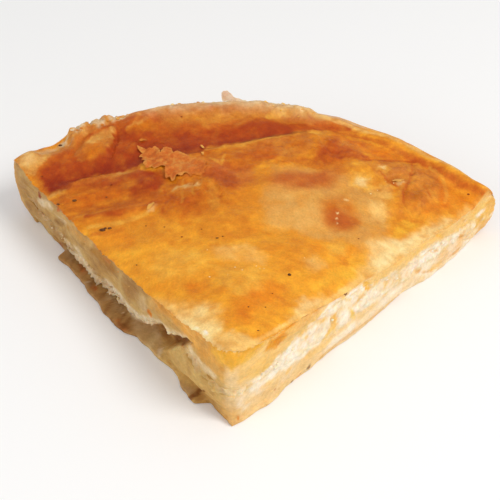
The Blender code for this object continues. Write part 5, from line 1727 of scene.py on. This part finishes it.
# Lines along which crumbs lie on the crust: two ends, how many, how large, colours to choose from.
CRUMB_LINES = (
    ((-76, 127), (-68, 132), 6, 0.9, ("haze", "tan", "curd")),
    ((-68, 132), (-58, 136), 6, 0.9, ("tan", "haze")),
    ((-46, 144), (-32, 147.5), 9, 0.8, ("haze", "cream")),
    ((-30, 148), (-16, 149.5), 8, 0.7, ("tan", "cream")),
    ((4, 141), (24, 145), 8, 0.5, ("haze", "straw")),
    ((-14, 149), (24, 147), 10, 0.7, ("haze", "butter")),
    ((-96, 112), (-88, 105), 4, 0.45, ("haze", "tan")),
    ((-40, 45), (-5, 60), 8, 0.35, ("straw", "butter")),
    ((-10, 40), (14, 50), 8, 0.35, ("cream", "butter")),
    ((-84, 104), (-44, 52), 9, 0.5, ("tan", "honey")),
    ((44, 96), (60, 112), 7, 0.5, ("cream", "haze")),
    ((20, 52), (44, 70), 6, 0.35, ("butter", "straw")),
)
# How far the crumbs lie off their line.
CRUMB_SPREAD = 1.2


def make_crumbs(materials):
    dice = np.random.default_rng(880)
    places = []
    sizes = []
    paints = []
    for start, end, count, size, names in CRUMB_LINES:
        share = dice.uniform(0.0, 1.0, count)
        x = start[0] + (end[0] - start[0]) * share + dice.normal(0.0, CRUMB_SPREAD, count)
        y = start[1] + (end[1] - start[1]) * share + dice.normal(0.0, CRUMB_SPREAD, count)
        over = np.maximum(np.hypot(x, y) / (RADIUS - 1.0), 1.0)
        x = x / over
        y = y / over
        half = size * dice.uniform(0.4, 1.0, count)
        places.append(np.stack((x, y, top_height(x, y) + 0.15 * half), -1))
        sizes.append(np.stack((half, half * 0.75, half * 0.45), -1))
        paints += [names[number % len(names)] for number in range(count)]
    points, faces, owner = lumps(np.concatenate(places), np.concatenate(sizes), 881)
    colours = np.array([linear(name) for name in paints])[owner]
    make_small("crust_crumbs", points, faces, colours, materials["flake"])


def on_cut(side, along, out, height):
    """Points on the left cut (side -1) or the right cut (side 1), by how far they stand out."""
    x = side * (along * SINE + out * COSINE)
    return np.stack(np.broadcast_arrays(x, along * COSINE - out * SINE, height), -1)


# Loose cheese at each cut: piece, side, from and to along the cut, how many, seed, highest share of
# the cheese's height, two colours.
CURDS = (
    ("left_curds", -1.0, 56.0, 130.0, 14, 890, 0.8, "curd", "khaki"),
    ("right_curds", 1.0, 8.0, 130.0, 22, 891, 0.9, "white", "pale"),
)
CURD_SIZE = 0.8
CURD_LOWEST = 0.2


def make_curds(materials):
    for name, side, start, end, count, seed, highest, paint, second in CURDS:
        dice = np.random.default_rng(seed)
        along = dice.uniform(start, end, count)
        x, y, _ = on_cut(side, along, 0.0, 0.0).T
        floor = cheese_floor(x, y)
        height = floor + (cheese_roof(x, y) - floor) * dice.uniform(CURD_LOWEST, highest, count)
        half = CURD_SIZE * dice.uniform(0.35, 1.0, count)
        places = on_cut(side, along, dice.uniform(-0.5, -0.1, count), height)
        points, faces, owner = lumps(places, np.stack((half, half * 0.9, half * 0.7), -1), 892)
        colours = tint(flat_paint(paint, len(points)), second, 0.6 * hashed(owner, owner, 893))
        make_small(name, points, faces, colours, materials["cheese"])


def make_floor():
    bpy.ops.mesh.primitive_plane_add(size=8.0, location=(0.0, 0.0, -0.0002))
    floor = bpy.context.object
    floor.name = "floor"
    material = bpy.data.materials.new("pale_floor")
    material.use_nodes = True
    shader = material.node_tree.nodes["Principled BSDF"]
    set_inputs(shader, {"Base Color": (0.93, 0.93, 0.93, 1.0), "Roughness": 0.9})
    floor.data.materials.append(material)


# Soft round lamps: name, place, diameter, power. They all look at a point in the food.
LAMPS = (("key", (0.75, -0.35, 0.95), 0.6, 8.2), ("fill", (-0.8, -0.7, 0.5), 0.8, 2.9))
LAMP_COLOUR = (1.0, 0.98, 0.95)
LAMP_TARGET = Vector((0.0, 0.0, 0.02))
SKY_STRENGTH = 0.6


def make_lights():
    for name, place, size, energy in LAMPS:
        light = bpy.data.lights.new(name, "AREA")
        light.shape = "DISK"
        light.size = size
        light.energy = energy
        light.color = LAMP_COLOUR
        made = bpy.data.objects.new(name, light)
        made.location = place
        made.rotation_euler = (LAMP_TARGET - Vector(place)).to_track_quat("-Z", "Y").to_euler()
        bpy.context.collection.objects.link(made)
    world = bpy.data.worlds.new("studio")
    world.use_nodes = True
    background = world.node_tree.nodes["Background"]
    set_inputs(background, {"Color": (1.0, 1.0, 1.0, 1.0), "Strength": SKY_STRENGTH})
    bpy.context.scene.world = world


# The photograph's camera: where it looks, its turn, its height above the level, and its distance.
LOOK = np.array((1.35, 78.45, 15.0))
CAMERA_TURN = math.radians(3.68)
CAMERA_ELEVATION = math.radians(39.17)
CAMERA_DISTANCE = 450.0
PHOTO_SIZE = 500.0
FOCAL_PIXELS = 1167.0


def make_camera():
    back = Vector((math.sin(CAMERA_TURN) * math.cos(CAMERA_ELEVATION),
                   -math.cos(CAMERA_TURN) * math.cos(CAMERA_ELEVATION), math.sin(CAMERA_ELEVATION)))
    lens = bpy.data.cameras.new("photo_view")
    lens.sensor_fit = "HORIZONTAL"
    lens.angle = 2.0 * math.atan(PHOTO_SIZE / 2.0 / FOCAL_PIXELS)
    camera = bpy.data.objects.new("photo_view", lens)
    camera.location = Vector((LOOK + TIP_PLACE) * MM) + back * CAMERA_DISTANCE * MM
    camera.rotation_euler = back.to_track_quat("Z", "Y").to_euler()
    bpy.context.collection.objects.link(camera)
    bpy.context.scene.camera = camera


def main():
    bpy.context.scene.view_settings.view_transform = "Standard"
    materials = {look: food_material(*settings) for look, settings in LOOKS.items()}
    for layer in LAYERS:
        make_layer(layer, materials)
    make_torn_sheet(materials)
    make_small_flakes(materials)
    make_rim_flake(materials)
    make_specks(materials)
    make_crumbs(materials)
    make_curds(materials)
    make_floor()
    make_lights()
    make_camera()


main()
